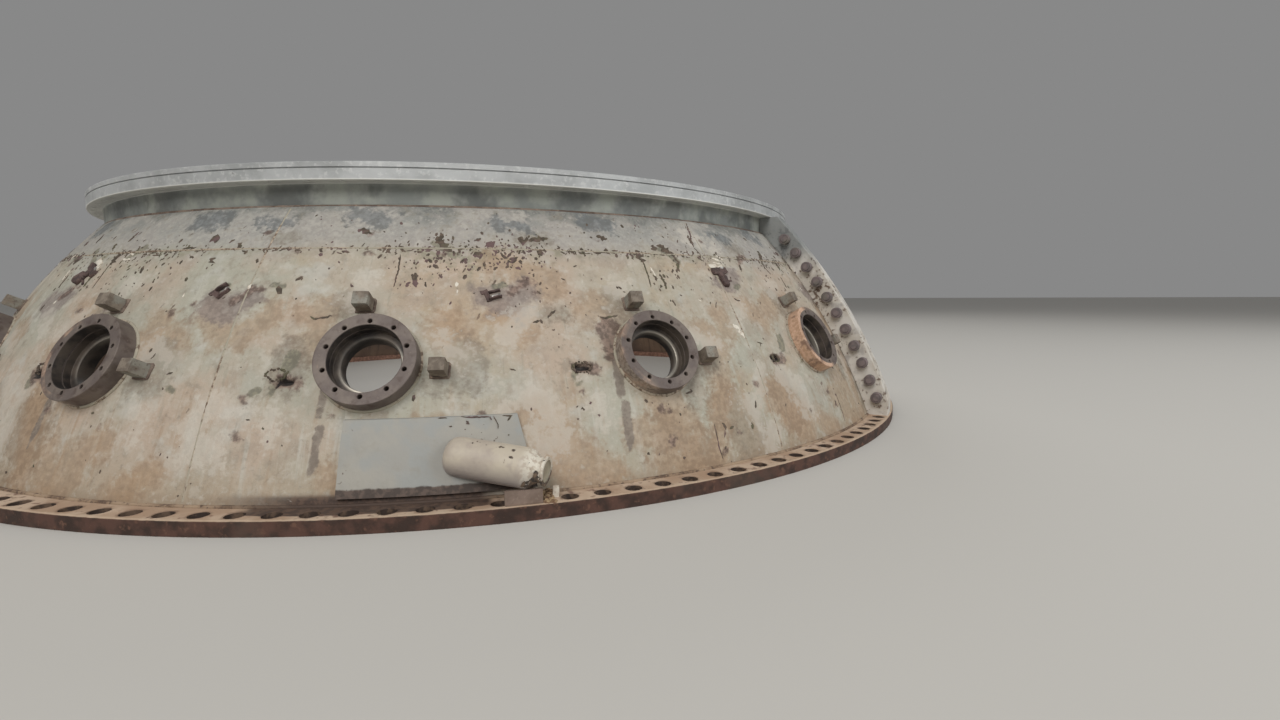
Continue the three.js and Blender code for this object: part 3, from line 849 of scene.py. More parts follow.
for number, (start, end) in enumerate(zip(PLATE_EDGES, PLATE_EDGES[1:]), 1):
    bays = round((end - start) / BAY)
    plate = course(f"shell_plate_{number:02d}_skin", start, bays, FLANGE_TOP + GAP, SEAM_HEIGHT)
    fitted(plate, "aged_paint", f"shell_plate_{number:02d}")

# Shell, upper course.
# A narrow course of the same plate closes the shell below the neck. Its paint is greyer and thinner, and the
# round seam between the courses was ground flush and has pitted along its length.
SHELL_TOP = 1.634
UPPER_ROWS = 20

for half, start in HALVES:
    upper = course(f"upper_course_{half}_skin", start, 8, SEAM_HEIGHT + GAP, SHELL_TOP, UPPER_ROWS)
    fitted(upper, "worn_paint", f"upper_course_{half}")

# Torch scale and spatter.
# Brackets and clips were cut off the shell with a torch. Ragged edges of gouges, drops of slag and blisters
# of scale are left along the round seam, dark brown to olive. Flakes of pale paint stand up here and there.
MEASURED_FROM, MEASURED_TO = -51.5, -13.5
GOUGES = [
    (0.0075, [(-0.373, 0.764), (-0.370, 0.729)]), (0.0075, [(-0.329, 0.750), (-0.326, 0.723)]),
    (0.0053, [(-0.306, 0.735), (-0.229, 0.740)]), (0.0083, [(-0.208, 0.749), (-0.161, 0.741)]),
    (0.0239, [(-0.132, 0.768), (-0.095, 0.756)]), (0.0060, [(-0.086, 0.751), (-0.019, 0.762)]),
    (0.0090, [(0.038, 0.764), (0.023, 0.703)]), (0.0090, [(0.053, 0.765), (0.060, 0.700)]),
    (0.0261, [(0.112, 0.785), (0.115, 0.680)]), (0.0060, [(0.126, 0.713), (0.129, 0.606), (0.120, 0.478)]),
    (0.0274, [(0.303, 0.847), (0.350, 0.791), (0.407, 0.742)]),
    (0.0120, [(0.398, 0.747), (0.415, 0.680), (0.379, 0.613)]),
    (0.0239, [(0.254, 0.838), (0.258, 0.786)]), (0.0120, [(0.226, 0.587), (0.239, 0.484)]),
    (0.0075, [(0.154, 0.514), (0.152, 0.495)]), (0.0090, [(0.196, 0.499), (0.191, 0.474)]),
    (0.0105, [(0.238, 0.504), (0.229, 0.463)]), (0.0090, [(0.369, 0.580), (0.371, 0.548)]),
    (0.0075, [(0.289, 0.495), (0.293, 0.462)]), (0.0075, [(0.253, 0.379), (0.252, 0.333)]),
    (0.0090, [(0.675, 1.090), (0.657, 1.001), (0.630, 0.895), (0.621, 0.837)]),
    (0.0045, [(0.624, 0.832), (0.659, 0.773)]), (0.0120, [(0.624, 0.958), (0.617, 0.869)]),
    (0.0217, [(-0.146, 0.893), (-0.074, 0.877)]), (0.0075, [(-0.117, 0.476), (-0.095, 0.460)]),
    (0.0067, [(-0.294, 0.266), (-0.270, 0.251), (-0.178, 0.269)]), (0.0053, [(0.621, 0.361), (0.594, 0.311)]),
    (0.0083, [(0.814, 0.389), (0.831, 0.368), (0.868, 0.368)]), (0.0083, [(0.537, 0.802), (0.535, 0.772)]),
    (0.0097, [(0.609, 0.748), (0.646, 0.707)]), (0.0120, [(1.059, 0.769), (1.084, 0.760)]),
    (0.0135, [(1.125, 0.763), (1.150, 0.757)]), (0.0120, [(1.225, 0.755), (1.320, 0.755)]),
    (0.0333, [(-0.662, 0.857), (-0.603, 0.837)]), (0.0217, [(-0.603, 0.837), (-0.479, 0.859)]),
    (0.0120, [(-0.794, 0.727), (-0.756, 0.688)]), (0.0274, [(-0.733, 0.693), (-0.718, 0.653)]),
    (0.0142, [(-0.725, 0.614), (-0.699, 0.595)]), (0.0105, [(-0.684, 0.674), (-0.686, 0.640)]),
    (0.0120, [(-0.919, 0.822), (-0.885, 0.845)]), (0.0239, [(-0.855, 0.808), (-0.823, 0.773)]),
    (0.0274, [(-0.933, 0.719), (-0.904, 0.690)]), (0.0112, [(-0.520, 0.766), (-0.519, 0.735)]),
    (0.0075, [(-0.608, 0.260), (-0.553, 0.311)]), (0.0075, [(-0.698, 0.232), (-0.656, 0.244)]),
    (0.0045, [(-0.873, -0.048), (-0.840, -0.057)]), (0.0083, [(-0.468, -0.260), (-0.465, -0.275)]),
    (0.0075, [(-0.524, -0.298), (-0.503, -0.301)]), (0.0067, [(-0.434, -0.335), (-0.427, -0.348)]),
    (0.0090, [(-0.178, -0.574), (-0.176, -0.590)]), (0.0090, [(0.040, -0.628), (0.045, -0.643)]),
    (0.0097, [(0.365, -0.468), (0.382, -0.514)]), (0.0083, [(0.414, -0.510), (0.450, -0.499)]),
    (0.0060, [(0.146, -0.262), (0.202, -0.250)]), (0.0060, [(0.186, -0.237), (0.196, -0.250)]),
    (0.0090, [(0.690, -0.363), (0.678, -0.412)]),
    (0.0045, [(0.305, -0.465), (0.303, -0.620), (0.315, -0.683)]),
    (0.0045, [(0.372, -0.513), (0.359, -0.558)]), (0.0045, [(0.880, 0.038), (0.935, 0.020)])]
PALE_FLAKES = [
    (0.0190, [(0.705, 0.185), (0.742, 0.150), (0.775, 0.078)]), (0.0070, [(0.466, 0.383), (0.484, 0.363)]),
    (0.0080, [(-1.073, 0.509), (-1.076, 0.475)]), (0.0050, [(-1.078, 0.455), (-1.081, 0.428)]),
    (0.0060, [(0.170, 0.640), (0.185, 0.560)]), (0.0100, [(0.765, 0.745), (0.830, 0.720)]),
    (0.0070, [(0.800, 0.770), (0.880, 0.735)]), (0.0060, [(0.750, 0.700), (0.840, 0.690)])]
# Clouds of spatter in the measured bay, by number, middle and spread
CLOUDS = [(150, -0.80, 0.71, 0.19, 0.085), (60, -0.75, 0.760, 0.26, 0.020), (50, 0.20, 0.752, 0.50, 0.014),
          (28, 0.25, 0.60, 0.14, 0.09), (22, 0.86, 0.64, 0.12, 0.08), (36, 0.0, 0.92, 0.60, 0.07),
          (70, -1.15, 0.66, 0.13, 0.13), (24, -0.55, 0.42, 0.18, 0.10), (26, 0.70, 0.74, 0.25, 0.03),
          (44, 0.0, -0.1, 0.60, 0.35)]
SCALE_STEP = 0.013
SPATTER_LOW, SPATTER_HIGH = 20.2, 42.3
SEAM_DASHES, SEAM_RISE = 30, 0.750
STRIPS_KEPT, CLEAR_OF_PORT = 0.5, 0.30

scale = Finish("torch_scale", "#4b4237", 0.75, 0.1)
cloud, grit = scale.noise(0.03, 5), scale.noise(0.007, 4, seed=2)
scale.coat("#65564a", cloud, 0.42, 0.6)
olive = scale.mixed("#5e5c45", "#6d5556", scale.noise(0.5, 2, seed=5), 0.46, 0.54)
scale.coat(olive, scale.noise(0.06, 4, seed=4), 0.48, 0.6, 0.8)
scale.coat("#8f8170", grit, 0.6, 0.72, 0.6)
scale_finish = scale.finish([(cloud, 0.002), (grit, 0.001)])

flake = Finish("pale_flakes", "#ddd6c8", 0.6)
flake.coat("#c3b6a6", flake.noise(0.03, 5), 0.45, 0.62)
flake_finish = flake.finish([(flake.noise(0.012, 4), 0.001)])


def on_bay(port, x, y):
    """Azimuth and latitude of a place given along the ring and up the meridian from a port's axis."""
    latitude = PORT_LATITUDE + np.degrees(y) / SPHERE_OUTSIDE
    return port + np.degrees(x) / (SPHERE_OUTSIDE * np.cos(np.radians(latitude))), latitude


def add_strip(points, faces, port, half_width, line, rng, seat=0.0):
    """A ragged strip of scale along a line, thickest in its middle, as one closed body."""
    line = np.array(line, float)
    run = np.concatenate([[0], np.cumsum(np.linalg.norm(np.diff(line, axis=0), axis=1))])
    count = max(4, int(run[-1] / SCALE_STEP) + 2)
    share = np.linspace(0, 1, count)
    middle = np.stack([np.interp(share * run[-1], run, line[:, k]) for k in range(2)], -1)
    ahead = np.gradient(middle, axis=0)
    ahead /= np.maximum(np.linalg.norm(ahead, axis=1), 1e-6)[:, None]
    aside = np.stack([-ahead[:, 1], ahead[:, 0]], -1)
    body = np.clip(4 * share * (1 - share), 0.02, 1) ** 0.3
    middle = middle + aside * (rng.normal(0, 0.30, count) * half_width)[:, None]
    left, right = (half_width * body * rng.uniform(0.5, 1.35, count) for _ in range(2))
    rows = [(middle + aside * left[:, None], 0.0004), (middle, 0.0022 * body + 0.0008),
            (middle - aside * right[:, None], 0.0004), (middle, -0.003)]
    first = len(points)
    rings = [skin_points(*on_bay(port, place[:, 0], place[:, 1]), np.broadcast_to(lift + seat, count))
             for place, lift in rows]
    points += [tuple(ring[k]) for k in range(count) for ring in rings]
    last = first + 4 * (count - 1)
    for a in range(first, last, 4):
        faces += band(range(a, a + 4), range(a + 4, a + 8))
    faces += [(first + 3, first + 2, first + 1, first), (last, last + 1, last + 2, last + 3)]


def face_outwards(shape):
    bmesh.ops.recalc_face_normals(shape, faces=shape.faces[:])


def strips_piece(name, points, faces, finish):
    """The strips as a piece whose faces all look outwards."""
    piece = mesh_object(name, points, faces)
    piece.data.materials.append(finish)
    reworked(piece, face_outwards)
    return piece


def bay_strips(bay, strips, share):
    """The measured bay's strips, or a mirrored and thinned copy of them for another bay."""
    if bay == 7:
        return strips
    rng = np.random.default_rng(700 + bay)
    flip, shift = rng.choice((-1, 1)), rng.uniform(-0.4, 0.4)
    copies = []
    for half_width, line in strips:
        if rng.uniform() > share:
            continue
        drop, grow = rng.uniform(-0.02, 0.02), rng.uniform(0.7, 1.3)
        moved = [(x * flip + shift, y + drop) for x, y in line]
        off = [math.hypot(x, y) for x, y in moved]
        azimuth = (PORTS[bay - 1] + math.degrees(moved[0][0] / 4.0) + 180) % 360 - 180
        below_neck = max(y for _, y in moved) < 1.09
        if min(off) > CLEAR_OF_PORT and below_neck and not MEASURED_FROM < azimuth < MEASURED_TO:
            copies.append((half_width * grow, moved))
    return copies


BAYS_OF = {"front": range(1, 9), "back": range(9, 17)}
for half, bays in BAYS_OF.items():
    for label, strips, dashes, finish in (("torch_scale", GOUGES, SEAM_DASHES, scale_finish),
                                          ("paint_flakes", PALE_FLAKES, 0, flake_finish)):
        points, faces = [], []
        for bay in bays:
            rng = np.random.default_rng(900 + bay)
            for half_width, line in bay_strips(bay, strips, STRIPS_KEPT):
                add_strip(points, faces, PORTS[bay - 1], half_width, line, rng)
            for _ in range(dashes):
                x, y = rng.uniform(-0.8, 0.8), SEAM_RISE + rng.normal(0, 0.008)
                slant, length = rng.normal(0, 0.6), rng.uniform(0.012, 0.045)
                end = (x + length * math.cos(slant), y + length * math.sin(slant))
                add_strip(points, faces, PORTS[bay - 1], rng.uniform(0.0035, 0.0075), [(x, y), end], rng)
        fitted(strips_piece(f"{label}_{half}", points, faces, finish), "aged_paint", edge=50)


def turned_piece(name, profile, sides):
    """A solid turned about Z from a line of (radius, height) that starts and ends on the axis."""
    turns = [2 * math.pi * k / sides for k in range(sides)]
    points = [(0, 0, profile[0][1])]
    points += [(r * math.cos(turn), r * math.sin(turn), h) for r, h in profile[1:-1] for turn in turns]
    points.append((0, 0, profile[-1][1]))
    rings = [range(1 + j * sides, 1 + (j + 1) * sides) for j in range(len(profile) - 2)]
    faces = [(0, 1 + (k + 1) % sides, 1 + k) for k in range(sides)]
    for low, high in zip(rings, rings[1:]):
        faces += band(low, high)
    faces += [(rings[-1][k], rings[-1][(k + 1) % sides], len(points) - 1) for k in range(sides)]
    return mesh_object(name, points, faces)


placed_tree, given = node_tree("pieces on points", {"Piece": "Object"})
model = wired(placed_tree, "GeometryNodeObjectInfo", ("Object", given["Piece"]))
facing, size = (wired(placed_tree, "GeometryNodeInputNamedAttribute", ("Name", label),
                      data_type="FLOAT_VECTOR") for label in ("facing", "size"))
copies = wired(placed_tree, "GeometryNodeInstanceOnPoints", ("Points", given["Geometry"]),
               ("Instance", model.outputs["Geometry"]), ("Rotation", facing.outputs["Attribute"]),
               ("Scale", size.outputs["Attribute"]))
realized = wired(placed_tree, "GeometryNodeRealizeInstances", ("Geometry", copies))
ended(placed_tree, realized, given["Finish"])


def placed(name, piece, spots, facings, sizes, finish):
    """Copies of a piece at the spots, each turned and sized by its own vector, as one mesh."""
    seats = mesh_object(name, spots, [])
    for label, vectors in (("facing", facings), ("size", sizes)):
        layer = seats.data.attributes.new(label, "FLOAT_VECTOR", "POINT")
        layer.data.foreach_set("vector", np.array(vectors, float).ravel())
    return grown(seats, placed_tree, {"Piece": piece, "Finish": finish})


drop = turned_piece("drop", [(0.0, -0.4), (1.0, -0.4), (0.75, 0.6), (0.0, 1.0)], 5)
for half, bays in BAYS_OF.items():
    spots, facings, sizes = [], [], []
    for bay in bays:
        rng = np.random.default_rng(1100 + bay)
        for number, x, y, spread, rise in CLOUDS:
            if bay != 7:
                number = int(number * rng.uniform(0.15, 0.5))
                x = rng.uniform(-0.6, 0.6)
            off = rng.normal((x, y), (spread, rise), (number, 2))
            azimuths, latitudes = on_bay(PORTS[bay - 1], off[:, 0], off[:, 1])
            inside = (latitudes > SPATTER_LOW) & (latitudes < SPATTER_HIGH)
            inside &= np.hypot(off[:, 0], off[:, 1]) > CLEAR_OF_PORT
            if bay != 7:
                inside &= (azimuths < MEASURED_FROM) | (azimuths > MEASURED_TO)
            here = skin_points(azimuths[inside], latitudes[inside])
            for spot, radius in zip(here, rng.lognormal(math.log(0.0070), 0.42, len(here))):
                out = Vector(spot) - Vector((0, 0, SPHERE_CENTRE))
                swing = Matrix.Rotation(rng.normal(0, 0.5), 3, "Z").to_quaternion()
                spots.append(spot)
                facings.append(tuple((out.to_track_quat("Z", "Y") @ swing).to_euler()))
                sizes.append((radius * rng.uniform(0.6, 1.0), radius * rng.uniform(1.0, 1.8), 0.0022))
    fitted(placed(f"spatter_{half}", drop, spots, facings, sizes, scale_finish), "aged_paint", edge=60)

# Neck and small flange.
# A welded neck carries the small flange that bolts to the runner's discharge ring. It is bright grey, with
# white machined edges, a groove round its edge and through holes for its bolts.
NECK_OUTSIDE, NECK_INSIDE = 3.330, 3.240
THROAT, SMALL_FLANGE_EDGE = 3.200, 3.430
SMALL_FLANGE_UNDERSIDE, RING_TOP = 1.781, 1.890
GROOVE_LOW, GROOVE_HIGH, GROOVE_DEPTH = 1.850, 1.858, 0.012
SMALL_BOLTS_ROUND = 96

grey = Finish("small_flange_grey", "#b9bbbb", 0.45, 0.25)
cloud, grit, high = grey.noise(0.3, 5), grey.noise(0.03, 5, seed=2), grey.height()
grey.coat("#a2a4a4", cloud, 0.4, 0.62)
grey.coat("#d6d7d5", grit, 0.52, 0.66, 0.5)
grey.coat("#53504c", grey.plus(grit, (cloud, 0.5)), 0.9, 1.02, 0.7)
grey.coat("#e6e6e1", high, SMALL_FLANGE_UNDERSIDE + 0.012, SMALL_FLANGE_UNDERSIDE + 0.002, 0.9)
neck_tone = grey.mixed("#858985", "#a0a39b", grey.noise(0.18, 5, seed=5), 0.4, 0.62)
neck_tone = grey.mixed(neck_tone, "#5c5e5d", grey.noise(0.35, 5, seed=7), 0.5, 0.62, 0.7)
on_neck = grey.between(high, SMALL_FLANGE_UNDERSIDE + 0.004, SMALL_FLANGE_UNDERSIDE - 0.01)
grey.layer(neck_tone, on_neck)
grey.coat("#5d4d42", grey.from_axis(), NECK_OUTSIDE - 0.03, NECK_OUTSIDE - 0.04, on_neck)
small_flange_finish = grey.finish([(cloud, 0.003), (grit, 0.0015)], grey.plus(0.35, (grit, 0.4)))

top = [(r, RING_TOP) for r in (3.203, 3.26, 3.32, 3.353, 3.368, 3.383, 3.398, 3.413, 3.427)]
grooved = [(SMALL_FLANGE_EDGE, h) for h in (RING_TOP - 0.003, 1.872, GROOVE_HIGH)]
grooved += [(SMALL_FLANGE_EDGE - GROOVE_DEPTH, h) for h in (GROOVE_HIGH, GROOVE_LOW)]
grooved += [(SMALL_FLANGE_EDGE, h) for h in (GROOVE_LOW, 1.825, 1.80, SMALL_FLANGE_UNDERSIDE + 0.003)]
under = [(r, SMALL_FLANGE_UNDERSIDE) for r in (3.427, 3.413, 3.398, 3.383, 3.368, 3.353, 3.345)]
neck = [(3.336, 1.779), (3.332, 1.772), (NECK_OUTSIDE, 1.76), (NECK_OUTSIDE, 1.72), (NECK_OUTSIDE, 1.68)]
neck += [(NECK_OUTSIDE, SHELL_TOP + GAP), (NECK_INSIDE, SHELL_TOP + GAP), (NECK_INSIDE, 1.70)]
neck += [(NECK_INSIDE, SMALL_FLANGE_UNDERSIDE), (3.203, SMALL_FLANGE_UNDERSIDE)]
neck += [(THROAT, 1.784), (THROAT, 1.83)]
small_profile = top + grooved + under + neck + [(THROAT, RING_TOP - 0.003)]
small_blocks = [(3, 2), (len(top) + len(grooved) + 1, 2)]
small_pitch = 360 / SMALL_BOLTS_ROUND
for half, start in HALVES:
    bay = ring_bay(f"small_flange_{half}", small_pitch / 2, 8, small_profile, small_blocks,
                   [(0.0195, 0.0), (0.018, 0.0015)])
    grown(bay, bay_tree, {"Bays": SMALL_BOLTS_ROUND // 2, "First": math.radians(start + small_pitch / 2),
                          "Step": math.radians(small_pitch), "Join": 0.0005, "Finish": small_flange_finish})
    reworked(bay, close_ends)
    fitted(bay, "grey_flange", f"top_flange_{half}")

# Stem bosses.
# Thick turned rings let into the shell and welded round, one for each guide vane's stem. The machined face
# has rusted purple-brown, with ten tapped holes, and a ledge inside the bore keeps a turned edge with a
# painted highlight on one side.
BOSS_FACE = 4.657
BOSS_BORE, LEDGE_BORE, LEDGE_FACE = 0.187, 0.151, 4.562
BOSS_INNER_END = 4.480
TAPPED_CIRCLE, TAPPED_HOLE, TAPPED_DEPTH = 0.209, 0.0125, 0.045
TAPPED_ROUND = 10

boss = Finish("boss_rust", "#675c57", 0.6, 0.25)
cloud, grit = boss.noise(0.13, 6), boss.noise(0.018, 5, seed=2)
boss.coat("#766b63", cloud, 0.42, 0.62)
boss.coat("#544640", boss.noise(0.05, 5, seed=4), 0.5, 0.68, 0.8)
boss.coat("#a3948a", grit, 0.6, 0.74, 0.35)
paint_left = boss.mixed("#a0958a", "#7d7067", grit, 0.45, 0.6)
boss.coat(paint_left, boss.plus(boss.painted("painted"), boss.uneven(cloud, 1.1)), 0.35, 0.62)
pinkish = boss.mixed("#b8957b", "#d3b198", boss.plus(grit, cloud), 0.85, 1.15)
pinkish = boss.mixed(pinkish, "#83695a", boss.noise(0.09, 5, seed=6), 0.49, 0.60, 0.85)
boss.coat(pinkish, boss.plus(boss.painted("orange"), boss.uneven(cloud, 1.2)), 0.3, 0.7)
# Painted shade inside the bore: its walls darken to near black
boss.layer(boss.mixed("#5b5148", "#312c2a", cloud, 0.38, 0.6), boss.painted("bore"))
# A crescent of the ledge's turned edge is a painted highlight, also made smoother and more metallic
bright = boss.painted("bright")
boss.layer("#b9b2a6", bright)
boss_finish = boss.finish([(cloud, 0.002), (grit, 0.0012)], boss.plus(0.42, (grit, 0.35), (bright, -0.2)),
                          boss.plus(0.2, (bright, 0.6)))

face = [(0.190, BOSS_FACE)] + [(TAPPED_CIRCLE + d, BOSS_FACE) for d in (-0.017, -0.0085, 0, 0.0085, 0.017)]
face += [(0.240, BOSS_FACE), (0.2515, BOSS_FACE)]
outside = [(BOSS_RADIUS, h) for h in (4.6545, 4.632, 4.61, 4.588, 4.57, 4.52, 4.4825)]
inner_end = [(r, BOSS_INNER_END) for r in (0.2515, 0.20, 0.1535)]
ledge = [(LEDGE_BORE, h) for h in (4.4825, 4.52, LEDGE_FACE - 0.005)]
ledge += [(r, LEDGE_FACE) for r in (LEDGE_BORE + 0.005, 0.170, 0.185)]
bore = [(BOSS_BORE, h) for h in (4.564, 4.585, 4.600)] + [(0.1905, 4.601), (0.1905, 4.608)]
bore += [(BOSS_BORE, h) for h in (4.609, 4.63, BOSS_FACE - 0.0035)]
boss_profile = face + outside + inner_end + ledge + bore
tapped = [(TAPPED_HOLE + 0.0025, 0.0), (TAPPED_HOLE, 0.0025), (TAPPED_HOLE, TAPPED_DEPTH)]
pattern = ring_bay("stem_boss_pattern", 180 / TAPPED_ROUND, 12, boss_profile, [(1, 2)], tapped)
grown(pattern, bay_tree, {"Bays": TAPPED_ROUND, "First": math.radians(90), "Join": 0.0003,
                          "Step": math.radians(360 / TAPPED_ROUND), "Finish": boss_finish})
pattern_data = pattern.data
bpy.data.objects.remove(pattern)


def port_matrix(azimuth, latitude=PORT_LATITUDE, distance=0.0):
    """From a port's own frame, X along the ring, Y up and Z out from the sphere's centre, to the ring's. With
    a latitude and a distance from that centre it is the frame of another place of the shell."""
    axes = port_axes(azimuth, latitude)
    matrix = Matrix([list(axis) for axis in axes]).transposed().to_4x4()
    matrix.translation = Vector(axes[2]) * distance + Vector((0, 0, SPHERE_CENTRE))
    return matrix


for number, port in enumerate(PORTS, 1):
    data = pattern_data.copy()
    data.name = f"stem_boss_{number:02d}_ring"
    points = read_points(data)
    r, h = np.hypot(points[:, 0], points[:, 1]), points[:, 2]
    rng = np.random.default_rng(300 + number)
    turn = math.radians(180 if number == 7 else rng.uniform(110, 250))
    sides = (r > BOSS_RADIUS - 0.001) & (h > SPHERE_OUTSIDE - 0.05)
    facing = (points[:, 0] * math.cos(turn) + points[:, 1] * math.sin(turn)) / np.maximum(r, 0.01)
    rusted = 1.0 if number == 8 else rng.uniform(0, 0.55)
    values = {"orange": np.where(r > 0.225, rusted * (0.5 - points[:, 0] / r * 0.7), 0) * (h > 4.5),
              "painted": np.where(sides, 0.22 + 0.70 * facing - (0.9 if number == 8 else 0), 0),
              # Marks the bore's walls for painted shade
              "bore": ((r < BOSS_BORE + 0.001) & (h < BOSS_FACE - 0.003)).astype(float),
              # Painted highlight: a crescent of the ledge's edge, strongest on the side turned away from
              # facing
              "bright": np.where((np.abs(r - LEDGE_BORE - 0.0025) < 0.004) & (h > 4.55) & (h < 4.57),
                                 np.clip(0.45 - 0.75 * facing, 0.12, 1), 0)}
    carry(data, values)
    data.transform(port_matrix(port))
    fitted(stood(data.name, data), "boss_metal", f"stem_boss_{number:02d}")

# Welds of the shell.
# Fillets run round every boss and along the foot, the small flange and the courses' seams. Most were ground
# down or painted over and stand only a few millimetres proud.
bead_tree, given = node_tree("weld bead", {
    "Radius": "Float", "Step": "Float", "Lumps": "Float", "Lump Size": "Float"})
to_curve = wired(bead_tree, "GeometryNodeMeshToCurve", ("Mesh", given["Geometry"]))
even = wired(bead_tree, "GeometryNodeResampleCurve", ("Curve", to_curve), ("Length", given["Step"]),
             mode="LENGTH")
circle = wired(bead_tree, "GeometryNodeCurvePrimitiveCircle", ("Resolution", 7), ("Radius", given["Radius"]))
swept = wired(bead_tree, "GeometryNodeCurveToMesh", ("Curve", even), ("Profile Curve", circle),
              ("Fill Caps", True))
lumps = wired(bead_tree, "ShaderNodeTexNoise", ("Scale", given["Lump Size"]))
centred = wired(bead_tree, "ShaderNodeMath", (0, lumps), (1, 0.5), operation="SUBTRACT")
swell = wired(bead_tree, "ShaderNodeMath", (0, centred), (1, given["Lumps"]), operation="MULTIPLY")
normal = wired(bead_tree, "GeometryNodeInputNormal")
push = wired(bead_tree, "ShaderNodeVectorMath", (0, normal), ("Scale", swell), operation="SCALE")
moved = wired(bead_tree, "GeometryNodeSetPosition", ("Geometry", swept), ("Offset", push))
realized = wired(bead_tree, "GeometryNodeRealizeInstances", ("Geometry", moved))
ended(bead_tree, realized, given["Finish"])
LUMPS_PER_METRE = 26.0


def bead(name, runs, radius, finish, lumps=0.006, step=0.014):
    """A weld bead along each run of points; a run is the points and whether it closes on itself."""
    points, edges = [], []
    for run, closed in runs:
        first, count = len(points), len(run)
        points += [tuple(p) for p in run]
        edges += [(first + k, first + k + 1) for k in range(count - 1)]
        if closed:
            edges.append((first + count - 1, first))
    data = bpy.data.meshes.new(name)
    data.from_pydata(points, edges, [])
    return grown(stood(name, data), bead_tree, {
        "Radius": radius, "Step": step, "Lumps": lumps, "Lump Size": LUMPS_PER_METRE, "Finish": finish})


weld = Finish("painted_weld", "#a39c8b", 0.7)
cloud, grit = weld.noise(0.16, 5), weld.noise(0.02, 5, seed=2)
weld.coat("#b0a08d", cloud, 0.42, 0.6)
weld.coat("#6d5b4c", weld.plus(grit, (cloud, 0.7)), 0.85, 1.0)
painted_weld = weld.finish([(grit, 0.003)])

weld = Finish("rusty_weld", "#7d6e62", 0.8)
cloud, grit = weld.noise(0.1, 5), weld.noise(0.015, 5, seed=2)
weld.coat("#5a4b42", cloud, 0.4, 0.6)
weld.coat("#a08a76", grit, 0.55, 0.7, 0.6)
rusty_weld = weld.finish([(grit, 0.003)])

weld = Finish("foot_weld", "#a18b74", 0.75)
cloud, grit = weld.noise(0.14, 5), weld.noise(0.02, 5, seed=2)
weld.coat("#7d6753", cloud, 0.42, 0.6)
weld.coat("#5d4b3f", weld.plus(grit, (cloud, 0.7)), 0.86, 1.0)
# Painted shadow under the side pads and pipes, with soot, darkens the foot fillet
weld.layer("#4d3d34", weld.painted("soot"))
foot_weld = weld.finish([(grit, 0.003)])

seam_latitude = latitude_at(SEAM_HEIGHT, SPHERE_OUTSIDE)
foot_latitude = latitude_at(FLANGE_TOP, SPHERE_OUTSIDE)
top_latitude = latitude_at(SHELL_TOP, SPHERE_OUTSIDE)
STATIONS = 500
for half, start in HALVES:
    azimuths = np.linspace(start + 1.4, start + 178.6, STATIONS)
    seam_runs = [(on_sphere(azimuths, seam_latitude, SPHERE_OUTSIDE - 0.004), False)]
    rows = np.linspace(foot_latitude + 0.3, top_latitude - 0.2, 120)
    for edge in PLATE_EDGES:
        if start < edge < start + 180:
            seam_runs.append((on_sphere(edge, rows, SPHERE_OUTSIDE - 0.0045), False))
    fitted(bead(f"shell_seams_{half}", seam_runs, 0.0075, painted_weld, step=0.020), "aged_paint", edge=60)
    foot = on_sphere(azimuths, foot_latitude, SPHERE_OUTSIDE) + (0, 0, 0.001)
    foot_bead = bead(f"foot_fillet_{half}", [(foot, False)], 0.012, foot_weld, step=0.022)
    # Where the foot fillet lies in the painted shadow of the side pads and pipes, with soot
    points = read_points(foot_bead.data)
    carry(foot_bead.data, {"soot": under_pad(np.degrees(np.arctan2(points[:, 1], points[:, 0])))})
    fitted(foot_bead, "aged_paint", edge=60)
    turns, reach = np.radians(azimuths), NECK_OUTSIDE + 0.012
    height = np.full(STATIONS, SHELL_TOP + 0.002)
    shoulder = np.stack([reach * np.cos(turns), reach * np.sin(turns), height], -1)
    neck_bead = bead(f"neck_fillet_{half}", [(shoulder, False)], 0.013, rusty_weld, step=0.022)
    fitted(neck_bead, "grey_flange", edge=60)
boss_runs = []
for port in PORTS:
    azimuths, latitudes = round_port(port, SPHERE_OUTSIDE, BOSS_RADIUS + 0.002, np.arange(0, 360, 3))
    boss_runs.append((on_sphere(azimuths, latitudes, SPHERE_OUTSIDE - 0.001), True))
fitted(bead("boss_fillets", boss_runs, 0.010, painted_weld, 0.008, 0.018), "aged_paint", edge=60)

# Square blocks beside the ports.
# Two lengths of square bar welded by each port hold the vane lever's stop. They are sawn square, rusty on the
# end, and stand as high as the boss, with a rough fillet round the foot.
BLOCK_WIDTH, BLOCK_DEPTH, BLOCK_OFFSET = 0.084, 0.076, 0.356
BLOCK_ANGLES = (101, -6)
BLOCK_SUNK, WELD_OFF = 0.03, 0.002
UNEVENNESS_SEED = 5
noise.seed_set(UNEVENNESS_SEED)

block = Finish("block_rust", "#857a6d", 0.75, 0.1)
cloud, grit = block.noise(0.06, 5), block.noise(0.012, 5, seed=2)
block.coat("#6c6156", cloud, 0.42, 0.6)
block.coat("#8d8a80", block.noise(0.12, 3, seed=6), 0.5, 0.62)
block.coat("#54453a", grit, 0.54, 0.7, 0.7)
block_rust = block.finish([(grit, 0.002)])


